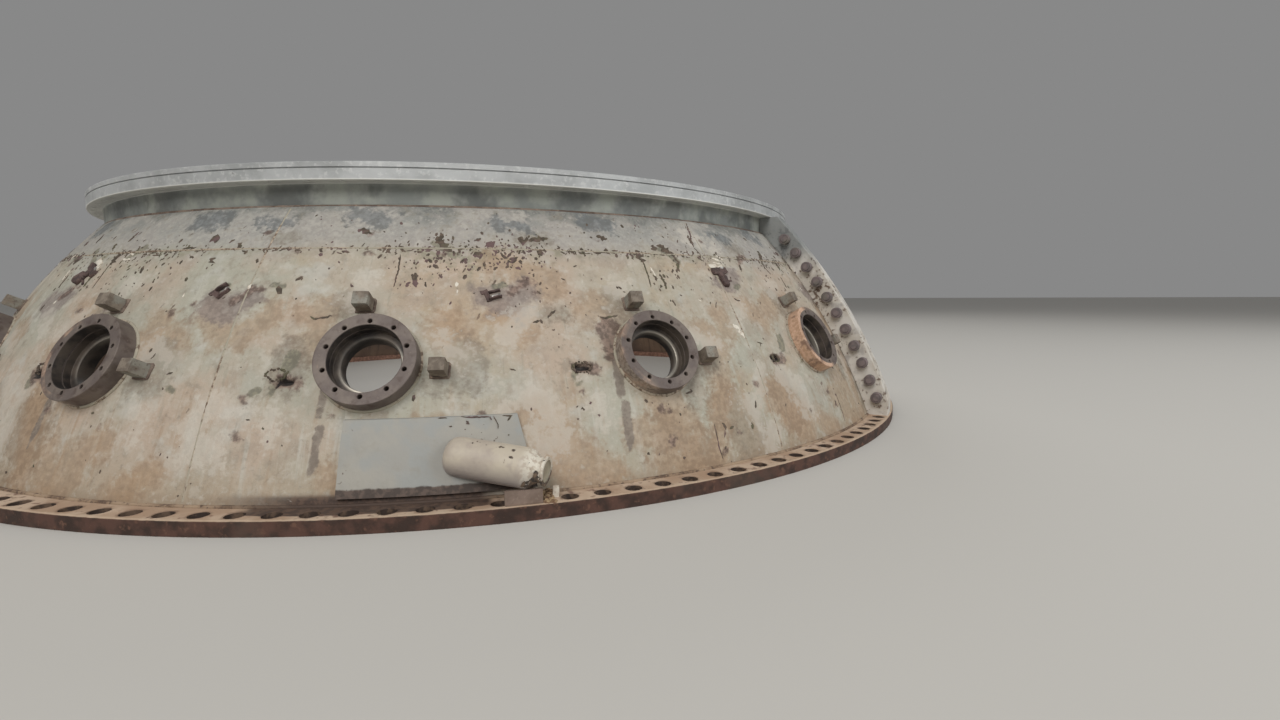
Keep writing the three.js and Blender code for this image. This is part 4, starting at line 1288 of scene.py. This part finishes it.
def add_bar(shape, move, low, high, seed, rounding=0.004, rough=0.0016, cuts=7):
    """Adds a bar with rounded edges and uneven sides, between two corners, and moves it into its place."""
    bar = bmesh.new()
    low, high = np.array(low, float), np.array(high, float)
    bmesh.ops.create_cube(bar, size=2)
    bmesh.ops.subdivide_edges(bar, edges=bar.edges[:], cuts=cuts, use_grid_fill=True)
    middle, half = (low + high) / 2, (high - low) / 2
    for v in bar.verts:
        p = np.array(v.co) * half
        core = np.clip(p, -half + rounding, half - rounding)
        off = p - core
        length = np.linalg.norm(off)
        if length > 0:
            p = core + off / length * rounding
        spot = Vector(p + middle) * 24 + Vector((seed * 3.7, 0, 0))
        v.co = p + np.array(noise.noise_vector(spot)) * rough + middle
    bar.transform(move)
    data = bpy.data.meshes.new("bar")
    bar.to_mesh(data)
    bar.free()
    shape.from_mesh(data)
    bpy.data.meshes.remove(data)


foot = math.sqrt(SPHERE_OUTSIDE**2 - BLOCK_OFFSET**2)
half_x, half_y = BLOCK_WIDTH / 2, BLOCK_DEPTH / 2
for number, port in enumerate(PORTS, 1):
    rng = np.random.default_rng(500 + number)
    shape = bmesh.new()
    weld_runs = []
    for angle in BLOCK_ANGLES:
        x, y = BLOCK_OFFSET * math.cos(math.radians(angle)), BLOCK_OFFSET * math.sin(math.radians(angle))
        swing = Matrix.Rotation(rng.uniform(-0.05, 0.05), 4, "Z")
        about = Matrix.Translation((x, y, 0)) @ swing @ Matrix.Translation((-x, -y, 0))
        low, high = (x - half_x, y - half_y, foot - BLOCK_SUNK), (x + half_x, y + half_y, BOSS_FACE)
        add_bar(shape, about, low, high, number * 7 + angle)
        run = []
        for from_x, from_y, to_x, to_y in ((-1, -1, 1, -1), (1, -1, 1, 1), (1, 1, -1, 1), (-1, 1, -1, -1)):
            for share in np.linspace(0, 1, 7)[:-1]:
                aside = x + (from_x + (to_x - from_x) * share) * (half_x + WELD_OFF)
                up_by = y + (from_y + (to_y - from_y) * share) * (half_y + WELD_OFF)
                at = about @ Vector((aside, up_by, 0))
                at.z = math.sqrt(SPHERE_OUTSIDE**2 - at.x**2 - at.y**2) + 0.001
                run.append(tuple(port_matrix(port) @ at))
        weld_runs.append((run, True))
    blocks = from_shape(f"port_{number:02d}_blocks", shape, block_rust, port_matrix(port))
    fitted(blocks, "aged_paint", edge=40)
    block_welds = bead(f"port_{number:02d}_block_welds", weld_runs, 0.009, rusty_weld, 0.009, 0.011)
    fitted(block_welds, "aged_paint", edge=60)

# Cut stubs and torn lugs.
# A small pipe stub and a clip once stood in each bay. The stubs were burnt off at the skin, which left a dark
# hole with a ragged rim. The clips were torn off, which left a broken foot of channel or a folded scrap.
STUB_AT, STUB_SIZE = (-0.470, -0.055), (0.052, 0.031)
STUB_AT_8, STUB_SIZE_8 = (-0.563, -0.095), (0.034, 0.026)
CHANNEL_AT, SCRAP_AT = (-0.875, 0.415), (-0.685, 0.56)
CHANNEL = [(-0.040, 0.0, 0.011, 0.052), (0.0, 0.022, 0.078, 0.010), (-0.004, -0.024, 0.070, 0.010)]
CHANNEL_HEIGHT, CHANNEL_TILT = 0.030, 0.26
# Bars of a lug: piece, two corners, what the bay's number is multiplied by and raised by for the bar's own
# unevenness, how round its edges are and how uneven its sides
CHANNEL_REST = [("bright_cuts", (-0.020, -0.012, -0.006), (0.030, 0.008, 0.010), 1, 0, 0.006, 0.008),
                ("torn_lugs", (-0.075, 0.020, -0.010), (-0.030, 0.055, 0.006), 5, 3, 0.004, 0.010),
                ("torn_lugs", (-0.060, -0.030, -0.010), (-0.030, 0.020, 0.016), 5, 4, 0.004, 0.008)]
SCRAP = [("torn_lugs", (-0.030, -0.075, -0.012), (0.026, 0.010, 0.030), 1, 0, 0.014, 0.010),
         ("torn_lugs", (-0.065, 0.030, -0.012), (0.085, 0.085, 0.016), 1, 40, 0.006, 0.012),
         ("torn_lugs", (-0.020, 0.000, -0.012), (0.030, 0.045, 0.020), 1, 80, 0.008, 0.010),
         ("torn_lugs", (0.000, -0.035, -0.012), (0.085, -0.020, 0.008), 1, 120, 0.004, 0.006),
         ("bright_cuts", (0.030, 0.075, -0.006), (0.070, 0.090, 0.018), 1, 60, 0.004, 0.006),
         ("lifted_paint", (-0.060, 0.088, -0.004), (0.020, 0.128, 0.006), 1, 20, 0.003, 0.007),
         ("lifted_paint", (0.015, 0.070, -0.004), (0.075, 0.105, 0.008), 1, 30, 0.003, 0.007)]

lug = Finish("torn_lug_rust", "#4a3c3a", 0.7, 0.2)
cloud, grit = lug.noise(0.035, 5), lug.noise(0.008, 4, seed=2)
lug.coat("#65524e", cloud, 0.42, 0.6)
lug.coat("#7f6b60", grit, 0.54, 0.68, 0.7)
cut = Finish("bright_cut_edge", "#c9c6c0", 0.35, 0.7)
cut.coat("#8f8a84", cut.noise(0.02, 5), 0.45, 0.6)
LUG_FINISHES = {"torn_lugs": lug.finish([(cloud, 0.003), (grit, 0.0015)]),
                "bright_cuts": cut.finish([(cut.noise(0.006, 3), 0.001)]), "lifted_paint": flake_finish}

lug_shapes = {(half, label): bmesh.new() for half in BAYS_OF for label in LUG_FINISHES}
rim_spots, rim_facings, rim_sizes = [], [], []
for number, port in enumerate(PORTS, 1):
    rng = np.random.default_rng(1300 + number)
    measured = number in (7, 8)
    (stub_x, stub_y), (across, tall) = (STUB_AT_8, STUB_SIZE_8) if number == 8 else (STUB_AT, STUB_SIZE)
    for turn in np.linspace(0, 2 * math.pi, 18)[:-1] if bay_marks(number)["crater"] else ():
        x = stub_x + across * math.cos(turn) * rng.uniform(0.8, 1.15)
        y = stub_y + tall * math.sin(turn) * rng.uniform(0.8, 1.15)
        azimuth, latitude = on_bay(port, x, y)
        swing = Matrix.Rotation(turn + math.pi / 2 + rng.normal(0, 0.4), 4, "Z")
        seat = port_matrix(azimuth, latitude, SPHERE_OUTSIDE) @ swing
        length = rng.uniform(0.008, 0.020) * (0.5 if math.sin(turn) < -0.6 else 1)
        rim_spots.append(tuple(skin_points(np.array([azimuth]), np.array([latitude]))[0]))
        rim_facings.append(tuple(seat.to_euler()))
        rim_sizes.append((length, rng.uniform(0.005, 0.010), rng.uniform(0.003, 0.010)))
    if number != 8 and (measured or rng.uniform() < 0.6):
        turn = CHANNEL_TILT + (0 if measured else rng.uniform(-0.6, 0.6))
        x, y = CHANNEL_AT if measured else np.array(CHANNEL_AT) + rng.uniform(-0.05, 0.05, 2)
        bars = []
        for k, (middle_x, middle_y, long, wide) in enumerate(CHANNEL):
            low = (middle_x - long / 2, middle_y - wide / 2, -0.012)
            high = (middle_x + long / 2, middle_y + wide / 2, CHANNEL_HEIGHT * rng.uniform(0.7, 1.0))
            bars.append(("torn_lugs", low, high, 5, k, 0.003, 0.009))
        bars += CHANNEL_REST
    else:
        x, y = SCRAP_AT if measured else np.array(SCRAP_AT) + rng.uniform(-0.06, 0.06, 2)
        turn = 0.1 if measured else rng.uniform(-0.8, 0.8)
        bars = SCRAP
    seat = port_matrix(*on_bay(port, x, y), SPHERE_OUTSIDE) @ Matrix.Rotation(turn, 4, "Z")
    half = "front" if number in BAYS_OF["front"] else "back"
    for label, low, high, times, more, rounding, rough in bars:
        add_bar(lug_shapes[half, label], seat, low, high, number * times + more, rounding, rough, cuts=3)
stub_rims = placed("burnt_stub_rims", drop, rim_spots, rim_facings, rim_sizes, scale_finish)
fitted(stub_rims, "aged_paint", edge=60)
for (half, label), shape in lug_shapes.items():
    fitted(from_shape(f"{label}_{half}", shape, LUG_FINISHES[label]), "aged_paint", edge=40)

# Joint flanges.
# Thick plates stand on the shell along both joints and bolt the halves together with a row of large round
# nuts. The plates are pale, the nuts rusty and darker, with the studs' ends showing in them.
JOINT_THICKNESS, JOINT_RISE, JOINT_REACH, JOINT_EDGE = 0.095, 0.195, 4.465, 0.006
NUT_RADIUS, NUT_HEIGHT, NUT_ABOVE = 0.045, 0.062, 0.115
NUT_FIRST, NUT_PITCH, NUTS = 21.1, 1.93, 11
JOINT_STATIONS = 90
JOINT_SHOULDER, JOINT_SET_IN = 1.749, 0.030
STUD_RADIUS, STUD_ABOVE = 0.028, 0.009
NUT_SIDES = 24

joint = Finish("joint_flange_paint", "#d2cdc5", 0.65)
cloud, grit = joint.noise(0.2, 5), joint.noise(0.03, 5, seed=2)
joint.coat("#c1b9ad", cloud, 0.42, 0.6)
joint.coat("#8f8984", joint.noise(0.12, 4, seed=3), 0.54, 0.68, 0.6)
joint.coat("#6a5749", joint.plus(grit, (cloud, 0.7)), 0.92, 1.05)
joint.coat("#6f7577", joint.plus(joint.height(), (cloud, 0.3)), 1.45, 1.7, 0.8)
joint_finish = joint.finish([(grit, 0.003)])

nut_rust = Finish("nut_rust", "#6d6463", 0.6, 0.3)
nut_rust.coat("#7e7170", nut_rust.noise(0.05, 5), 0.42, 0.6)
nut_rust.coat("#6f6c60", nut_rust.noise(0.4, 2, seed=4), 0.5, 0.6)
nut_finish = nut_rust.finish([(nut_rust.noise(0.01, 4, seed=2), 0.001)])


def along(points, shares):
    """Points at equal shares of a line's length."""
    points = np.array(points, float)
    run = np.concatenate([[0], np.cumsum(np.linalg.norm(np.diff(points, axis=0), axis=1))])
    return np.stack([np.interp(np.array(shares) * run[-1], run, points[:, k]) for k in range(2)], -1)


def meridian(distance, low, high, count):
    rows = np.radians(np.linspace(latitude_at(low, distance), latitude_at(high, distance), count))
    return [(distance * math.cos(l), SPHERE_CENTRE + distance * math.sin(l)) for l in rows]


plate_top = SMALL_FLANGE_UNDERSIDE - GAP
skin_line = meridian(SPHERE_OUTSIDE + GAP * 3, FLANGE_TOP + GAP, SHELL_TOP, 60)
skin_line += [(NECK_OUTSIDE + GAP * 3, SHELL_TOP + 0.003), (NECK_OUTSIDE + GAP * 3, plate_top)]
rim_line = meridian(SPHERE_OUTSIDE + JOINT_RISE, FLANGE_TOP + GAP, JOINT_SHOULDER, 60)
rim_line = [(min(r, JOINT_REACH), h) for r, h in rim_line]
rim_line += [(rim_line[-1][0] - JOINT_SET_IN, plate_top)]
shares = np.linspace(0, 1, JOINT_STATIONS)
skin_line, rim_line = along(skin_line, shares), along(rim_line, shares)
outline = [(share, 0.0) for share in (0.0, 0.5, 1.0)]
outline += [(1.0, JOINT_THICKNESS * 0.5), (1.0, JOINT_THICKNESS - JOINT_EDGE)]
outline += [(share, JOINT_THICKNESS) for share in (1.0 - JOINT_EDGE / JOINT_RISE, 0.66, 0.33, 0.0)]
outline += [(0.0, JOINT_THICKNESS * 0.5)]
points, faces, ring = [], [], len(outline)
for (r0, h0), (r1, h1) in zip(skin_line, rim_line):
    points += [(r0 + (r1 - r0) * s, -GAP / 2 - depth, h0 + (h1 - h0) * s) for s, depth in outline]
starts = range(0, JOINT_STATIONS * ring, ring)
for a, b in zip(starts, starts[1:]):
    faces += band(range(a, a + ring), range(b, b + ring))
faces += [tuple(range(ring))[::-1], tuple(range(starts[-1], starts[-1] + ring))]

nut_profile = [(0.0, 0.0), (NUT_RADIUS - 0.003, 0.0), (NUT_RADIUS, 0.003), (NUT_RADIUS, NUT_HEIGHT - 0.006),
               (NUT_RADIUS - 0.005, NUT_HEIGHT), (0.031, NUT_HEIGHT), (0.030, NUT_HEIGHT - 0.003),
               (0.029, NUT_HEIGHT - 0.003), (STUD_RADIUS, NUT_HEIGHT + 0.006),
               (STUD_RADIUS - 0.003, NUT_HEIGHT + STUD_ABOVE), (0.0, NUT_HEIGHT + STUD_ABOVE)]
nut = turned_piece("nut", nut_profile, NUT_SIDES)
reach = SPHERE_OUTSIDE + NUT_ABOVE
nut_rows = [math.radians(NUT_FIRST + NUT_PITCH * k) for k in range(NUTS)]
nut_seat = -GAP / 2 - JOINT_THICKNESS
spots = [(reach * math.cos(l), nut_seat, SPHERE_CENTRE + reach * math.sin(l)) for l in nut_rows]
for where, mirrored, turn in (("east_front", False, 0), ("east_back", True, 0),
                              ("west_front", True, 180), ("west_back", False, 180)):
    plate = mesh_object(f"joint_plate_{where}", points, faces)
    plate.data.materials.append(joint_finish)
    facings, sizes = [(math.radians(90), 0, 0)] * NUTS, [(1, 1, 1)] * NUTS
    nuts = placed(f"joint_nuts_{where}", nut, spots, facings, sizes, nut_finish)
    move = Matrix.Rotation(math.radians(turn), 4, "Z")
    if mirrored:
        move = move @ Matrix.Scale(-1, 4, (0, 1, 0))
    for piece in (plate, nuts):
        piece.data.transform(move)
        reworked(piece, face_outwards)
    fitted(plate, "joint_paint", f"joint_flange_{where}")
    fitted(nuts, "joint_paint")
bpy.data.objects.remove(nut)

# Side pads, pipe stubs and saddles.
# A blue-grey patch plate low on the shell closes a pipe connection. The thick pipe stub that leaves it ends
# in a neck with a lip, its cream paint flaking off, and rests on a plate that stands on the large flange.
PAD_THICKNESS, PAD_LOW, PAD_HIGH, PAD_FROM, PAD_TO = 0.025, 0.115, 0.470, -57.5, -45.8
PAD_LEAN, PAD_LEAN_OVER, PAD_SHADED_BAND_TOP = 1.1, 0.36, 0.160
PIPE_START, PIPE_END = Vector((2.680, -3.262, 0.287)), Vector((3.190, -3.115, 0.232))
PIPE_RADIUS, PIPE_BODY = 0.102, 0.440
PIPE_NECK, NECK_FROM, LIP, LIP_FROM, PIPE_TIP = 0.062, 0.492, 0.072, 0.518, 0.532
SADDLE_WIDTH, SADDLE_THICKNESS, SADDLE_AZIMUTH, SADDLE_RADIUS, SADDLE_TOP = 0.184, 0.025, -45.8, 4.447, 0.150

PAD_CRACKS = [
    (0.0035, [(-1.265, -0.309), (-1.221, -0.310)]),
    (0.0040, [(-1.152, -0.309), (-1.084, -0.313), (-1.014, -0.315)]),
    (0.0030, [(-1.010, -0.313), (-1.006, -0.333)]),
    (0.0025, [(-0.993, -0.312), (-0.977, -0.359), (-0.980, -0.380)]),
    (0.0040, [(-0.948, -0.312), (-0.898, -0.315)]), (0.0045, [(-0.902, -0.316), (-0.926, -0.342)]),
    (0.0075, [(-1.130, -0.330), (-1.120, -0.349)]), (0.0040, [(-1.217, -0.353), (-1.202, -0.357)]),
    (0.0040, [(-0.933, -0.413), (-0.929, -0.418)])]
POST_AZIMUTH, POST_RADIUS, POST_TOP = -43.66, 4.390, 0.136
CRUMBS = 90
CRUMB_AZIMUTHS, CRUMB_RADII, CRUMB_HEAP = (-44.65, -43.85), (4.335, 4.466), 0.034
PIPE_AZIMUTH, DISC_SET_IN = -47, 0.008
# Where the pipe's paint is torn: middle and spread along it, middle and spread up it, and how strong
TORN_BANDS = [(0.372, 0.032, 0.66, 0.07, 0.58), (0.345, 0.010, 0.40, 0.25, 0.52)]

crumb = Finish("rust_crumbs", "#a58c6c", 0.85)
cloud, grit = crumb.noise(0.03, 4), crumb.noise(0.008, 4, seed=2)
crumb.coat("#70543f", cloud, 0.43, 0.57)
crumb.coat("#c2ad8c", grit, 0.55, 0.68, 0.6)
crumb_finish = crumb.finish([(grit, 0.001)])

pad_paint = Finish("pad_blue_grey", "#9b9a95", 0.6)
cloud, grit = pad_paint.noise(0.25, 5), pad_paint.noise(0.03, 5, seed=2)
pad_paint.coat("#a5a198", cloud, 0.42, 0.6)
pad_paint.coat("#949a9b", pad_paint.noise(0.14, 4, seed=6), 0.46, 0.6, 0.7)
pad_paint.coat("#918d83", pad_paint.noise(0.09, 5, seed=4), 0.54, 0.7, 0.5)
pad_paint.layer("#9c988f", 0.35)
pad_paint.coat("#5d5048", pad_paint.plus(grit, (cloud, 0.8)), 1.10, 1.16)
# Painted shade, with rust, along the pad's lowest band where it meets the shell's foot
pad_foot_shade_and_rust = pad_paint.mixed("#443831", "#5e4e45", grit, 0.42, 0.6)
pad_height = pad_paint.plus(pad_paint.height(), pad_paint.uneven(grit, 0.02))
pad_paint.coat(pad_foot_shade_and_rust, pad_height, PAD_SHADED_BAND_TOP, PAD_SHADED_BAND_TOP - 0.010)
pad_finish = pad_paint.finish([(cloud, 0.004), (grit, 0.0015)])

cream = Finish("flaking_cream_paint", "#c3b8a6", 0.55)
cloud, grit = cream.noise(0.15, 5), cream.noise(0.022, 6, seed=2)
cream.coat("#b6aa9c", cloud, 0.42, 0.6)
cream.coat("#a79a90", cream.noise(0.07, 4, seed=3), 0.54, 0.68, 0.5)
# Painted shade: the pipe's lower side is greyed violet
cream.layer("#8f8788", cream.times(cream.painted("under"), 0.8))
cream.layer(cream.mixed("#d9d2c3", "#b9ab9a", grit, 0.45, 0.6), cream.painted("crumpled"))
flaked = cream.between(cream.plus(cream.painted("flaked"), (cream.noise(0.045, 6, seed=5), 1.3)), 1.0, 1.03)
cream.layer(cream.mixed("#4a423d", "#7d6a59", grit, 0.4, 0.62), flaked)
cream.layer(cream.mixed("#a79f8b", "#958c7b", cloud, 0.4, 0.6), cream.painted("disc"))
relief = [(cream.times(flaked, -1.0), 0.003), (grit, 0.0015)]
pipe_finish = cream.finish(relief, cream.plus(0.5, (flaked, 0.3)))

plate_rust = Finish("saddle_rust", "#87756a", 0.8)
cloud, grit = plate_rust.noise(0.12, 5), plate_rust.noise(0.02, 5, seed=2)
plate_rust.coat("#77665b", cloud, 0.42, 0.6)
plate_rust.coat("#998a7e", grit, 0.55, 0.7, 0.5)
saddle_finish = plate_rust.finish([(grit, 0.002)])

pad_rows, pad_columns = 20, 40
pad_points, pad_faces = [], []
for distance in (SPHERE_OUTSIDE + PAD_THICKNESS, SPHERE_OUTSIDE + GAP * 3):
    for h in np.linspace(PAD_LOW, PAD_HIGH, pad_rows + 1):
        pad_end = PAD_TO + PAD_LEAN * (PAD_LOW + PAD_LEAN_OVER - h) / PAD_LEAN_OVER
        azimuths = np.linspace(PAD_FROM, pad_end, pad_columns + 1)
        pad_points += list(on_sphere(azimuths, latitude_at(h, distance), distance))
wide = pad_columns + 1
layer = wide * (pad_rows + 1)
for j in range(pad_rows):
    for i in range(pad_columns):
        a = j * wide + i
        pad_faces.append((a, a + 1, a + wide + 1, a + wide))
        pad_faces.append((layer + a, layer + a + wide, layer + a + wide + 1, layer + a + 1))
pad_edge = grid_edge(wide, 0, pad_columns, 0, pad_rows)
pad_faces += [(b, a, layer + a, layer + b) for a, b in zip(pad_edge, pad_edge[1:] + pad_edge[:1])]

pipe_profile = [(0, 0.004), (0.055, 0.008), (0.082, 0.018), (0.095, 0.034), (0.100, 0.050)]
pipe_profile += [(PIPE_RADIUS, z) for z in np.linspace(0.068, PIPE_BODY - 0.006, 42)]
pipe_profile += [(0.1, PIPE_BODY), (0.095, PIPE_BODY + 0.010), (0.084, PIPE_BODY + 0.026)]
pipe_profile += [(0.070, PIPE_BODY + 0.042), (PIPE_NECK, NECK_FROM), (PIPE_NECK, NECK_FROM + 0.014)]
pipe_profile += [(PIPE_NECK, LIP_FROM), (LIP - 0.002, LIP_FROM)]
pipe_profile += [(LIP, LIP_FROM + 0.002), (LIP, PIPE_TIP - 0.002), (LIP - 0.002, PIPE_TIP), (0.056, PIPE_TIP)]
pipe_profile += [(0.054, PIPE_TIP - 0.007)] + [(r, PIPE_TIP - DISC_SET_IN) for r in (0.052, 0.02, 0)]

for half, start in HALVES:
    half_turn = Matrix.Rotation(math.radians(start + 180), 4, "Z")
    pad = mesh_object(f"side_pad_{half}_plate", pad_points, pad_faces)
    pad.data.materials.append(pad_finish)
    pad.data.transform(half_turn)
    fitted(pad, "blue_grey_paint", f"side_pad_{half}")

    pipe = turned_piece(f"pipe_stub_{half}_body", pipe_profile, 56)
    pipe.data.materials.append(pipe_finish)
    local = read_points(pipe.data)
    down_pipe, off_axis = local[:, 2], np.hypot(local[:, 0], local[:, 1])
    axis = (PIPE_END - PIPE_START).normalized()
    pipe.data.transform(Matrix.Translation(PIPE_START) @ axis.to_track_quat("Z", "X").to_matrix().to_4x4())
    seated = read_points(pipe.data)
    towards = seated - (np.array(PIPE_START) + np.outer(down_pipe, np.array(axis)))
    towards /= np.maximum(np.linalg.norm(towards, axis=1), 1e-6)[:, None]
    outside = np.array((math.cos(math.radians(PIPE_AZIMUTH)), math.sin(math.radians(PIPE_AZIMUTH)), 0))
    climb, front = towards[:, 2], towards @ outside
    end_share = np.clip((down_pipe - PIPE_BODY + 0.03) / 0.05, 0, 1)
    end_rust = end_share * np.clip(0.34 - 0.30 * climb, 0.1, 0.6)
    ridge = np.exp(-((climb - 0.93) / 0.10) ** 2) * np.clip(front + 0.5, 0, 1) * 0.30 * (down_pipe > 0.10)
    torn = [np.exp(-((down_pipe - middle) / spread) ** 2 - ((climb - height) / rise) ** 2) * strength
            for middle, spread, height, rise, strength in TORN_BANDS]
    peeled = np.maximum(*torn) * (front > 0)
    disc = (off_axis < 0.0555) & (down_pipe > PIPE_TIP - 0.02)
    # The under attribute is painted shade on the pipe's lower side
    carry(pipe.data, {"flaked": np.where(disc, 0, np.maximum.reduce([end_rust, ridge, peeled])),
                      "crumpled": end_share * np.clip(0.75 + 0.5 * climb, 0, 1) * ~disc, "disc": disc,
                      "under": np.clip(0.25 - climb * 1.1, 0, 1)})
    from_centre = seated - (0, 0, SPHERE_CENTRE)
    distance = np.linalg.norm(from_centre, axis=1)
    cut_back = np.maximum(distance, SPHERE_OUTSIDE + PAD_THICKNESS / 2) / distance
    pipe.data.vertices.foreach_set("co", (from_centre * cut_back[:, None] + (0, 0, SPHERE_CENTRE)).ravel())
    pipe.data.transform(half_turn)
    fitted(pipe, "pipe_paint", f"pipe_stub_{half}")

    shape = bmesh.new()
    low = (SADDLE_RADIUS - SADDLE_THICKNESS / 2, -SADDLE_WIDTH / 2, FLANGE_TOP + GAP)
    high = (SADDLE_RADIUS + SADDLE_THICKNESS / 2, SADDLE_WIDTH / 2, SADDLE_TOP)
    add_bar(shape, Matrix.Identity(4), low, high, 5, 0.003, 0.001)
    to_saddle = half_turn @ Matrix.Rotation(math.radians(SADDLE_AZIMUTH), 4, "Z")
    saddle = from_shape(f"pipe_saddle_{half}_plate", shape, saddle_finish, to_saddle)
    fitted(saddle, "rusty_flange", f"pipe_saddle_{half}")

    points, faces = [], []
    rng = np.random.default_rng(41)
    for half_width, line in PAD_CRACKS:
        add_strip(points, faces, PORTS[6], half_width, line, rng, PAD_THICKNESS)
    cracks = strips_piece(f"pad_cracks_{half}", points, faces, scale_finish)
    cracks.data.transform(half_turn)
    fitted(cracks, "blue_grey_paint", edge=50)

    shape = bmesh.new()
    low, high = (POST_RADIUS - 0.005, -0.016, FLANGE_TOP - 0.002), (POST_RADIUS + 0.005, 0.016, POST_TOP)
    add_bar(shape, Matrix.Rotation(math.radians(POST_AZIMUTH), 4, "Z"), low, high, 9, 0.002, 0.003, cuts=3)
    fitted(from_shape(f"small_post_{half}", shape, flake_finish, half_turn), "pipe_paint")

    rng = np.random.default_rng(43)
    share = rng.uniform(0, 1, CRUMBS) ** 1.3
    reach = CRUMB_RADII[0] + (CRUMB_RADII[1] - CRUMB_RADII[0]) * share
    azimuths = np.radians(rng.uniform(*CRUMB_AZIMUTHS, CRUMBS))
    heights = FLANGE_TOP + CRUMB_HEAP * (1 - share) * rng.uniform(0, 1, CRUMBS)
    spots = list(zip(reach * np.cos(azimuths), reach * np.sin(azimuths), heights))
    facings = [(0, 0, rng.uniform(0, 2 * math.pi)) for _ in spots]
    radii, stretch = rng.uniform(0.006, 0.014, CRUMBS), rng.uniform(1, 1.7, CRUMBS)
    sizes = [(r, r * u, r * 0.9) for r, u in zip(radii, stretch)]
    crumbs = placed(f"rust_crumbs_{half}", drop, spots, facings, sizes, crumb_finish)
    crumbs.data.transform(half_turn)
    fitted(crumbs, "rusty_flange", edge=60)
bpy.data.objects.remove(drop)

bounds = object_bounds()
sizes = {"cad": [list(map(float, c)) for c in cad_box], "visual": [list(map(float, c)) for c in bounds]}
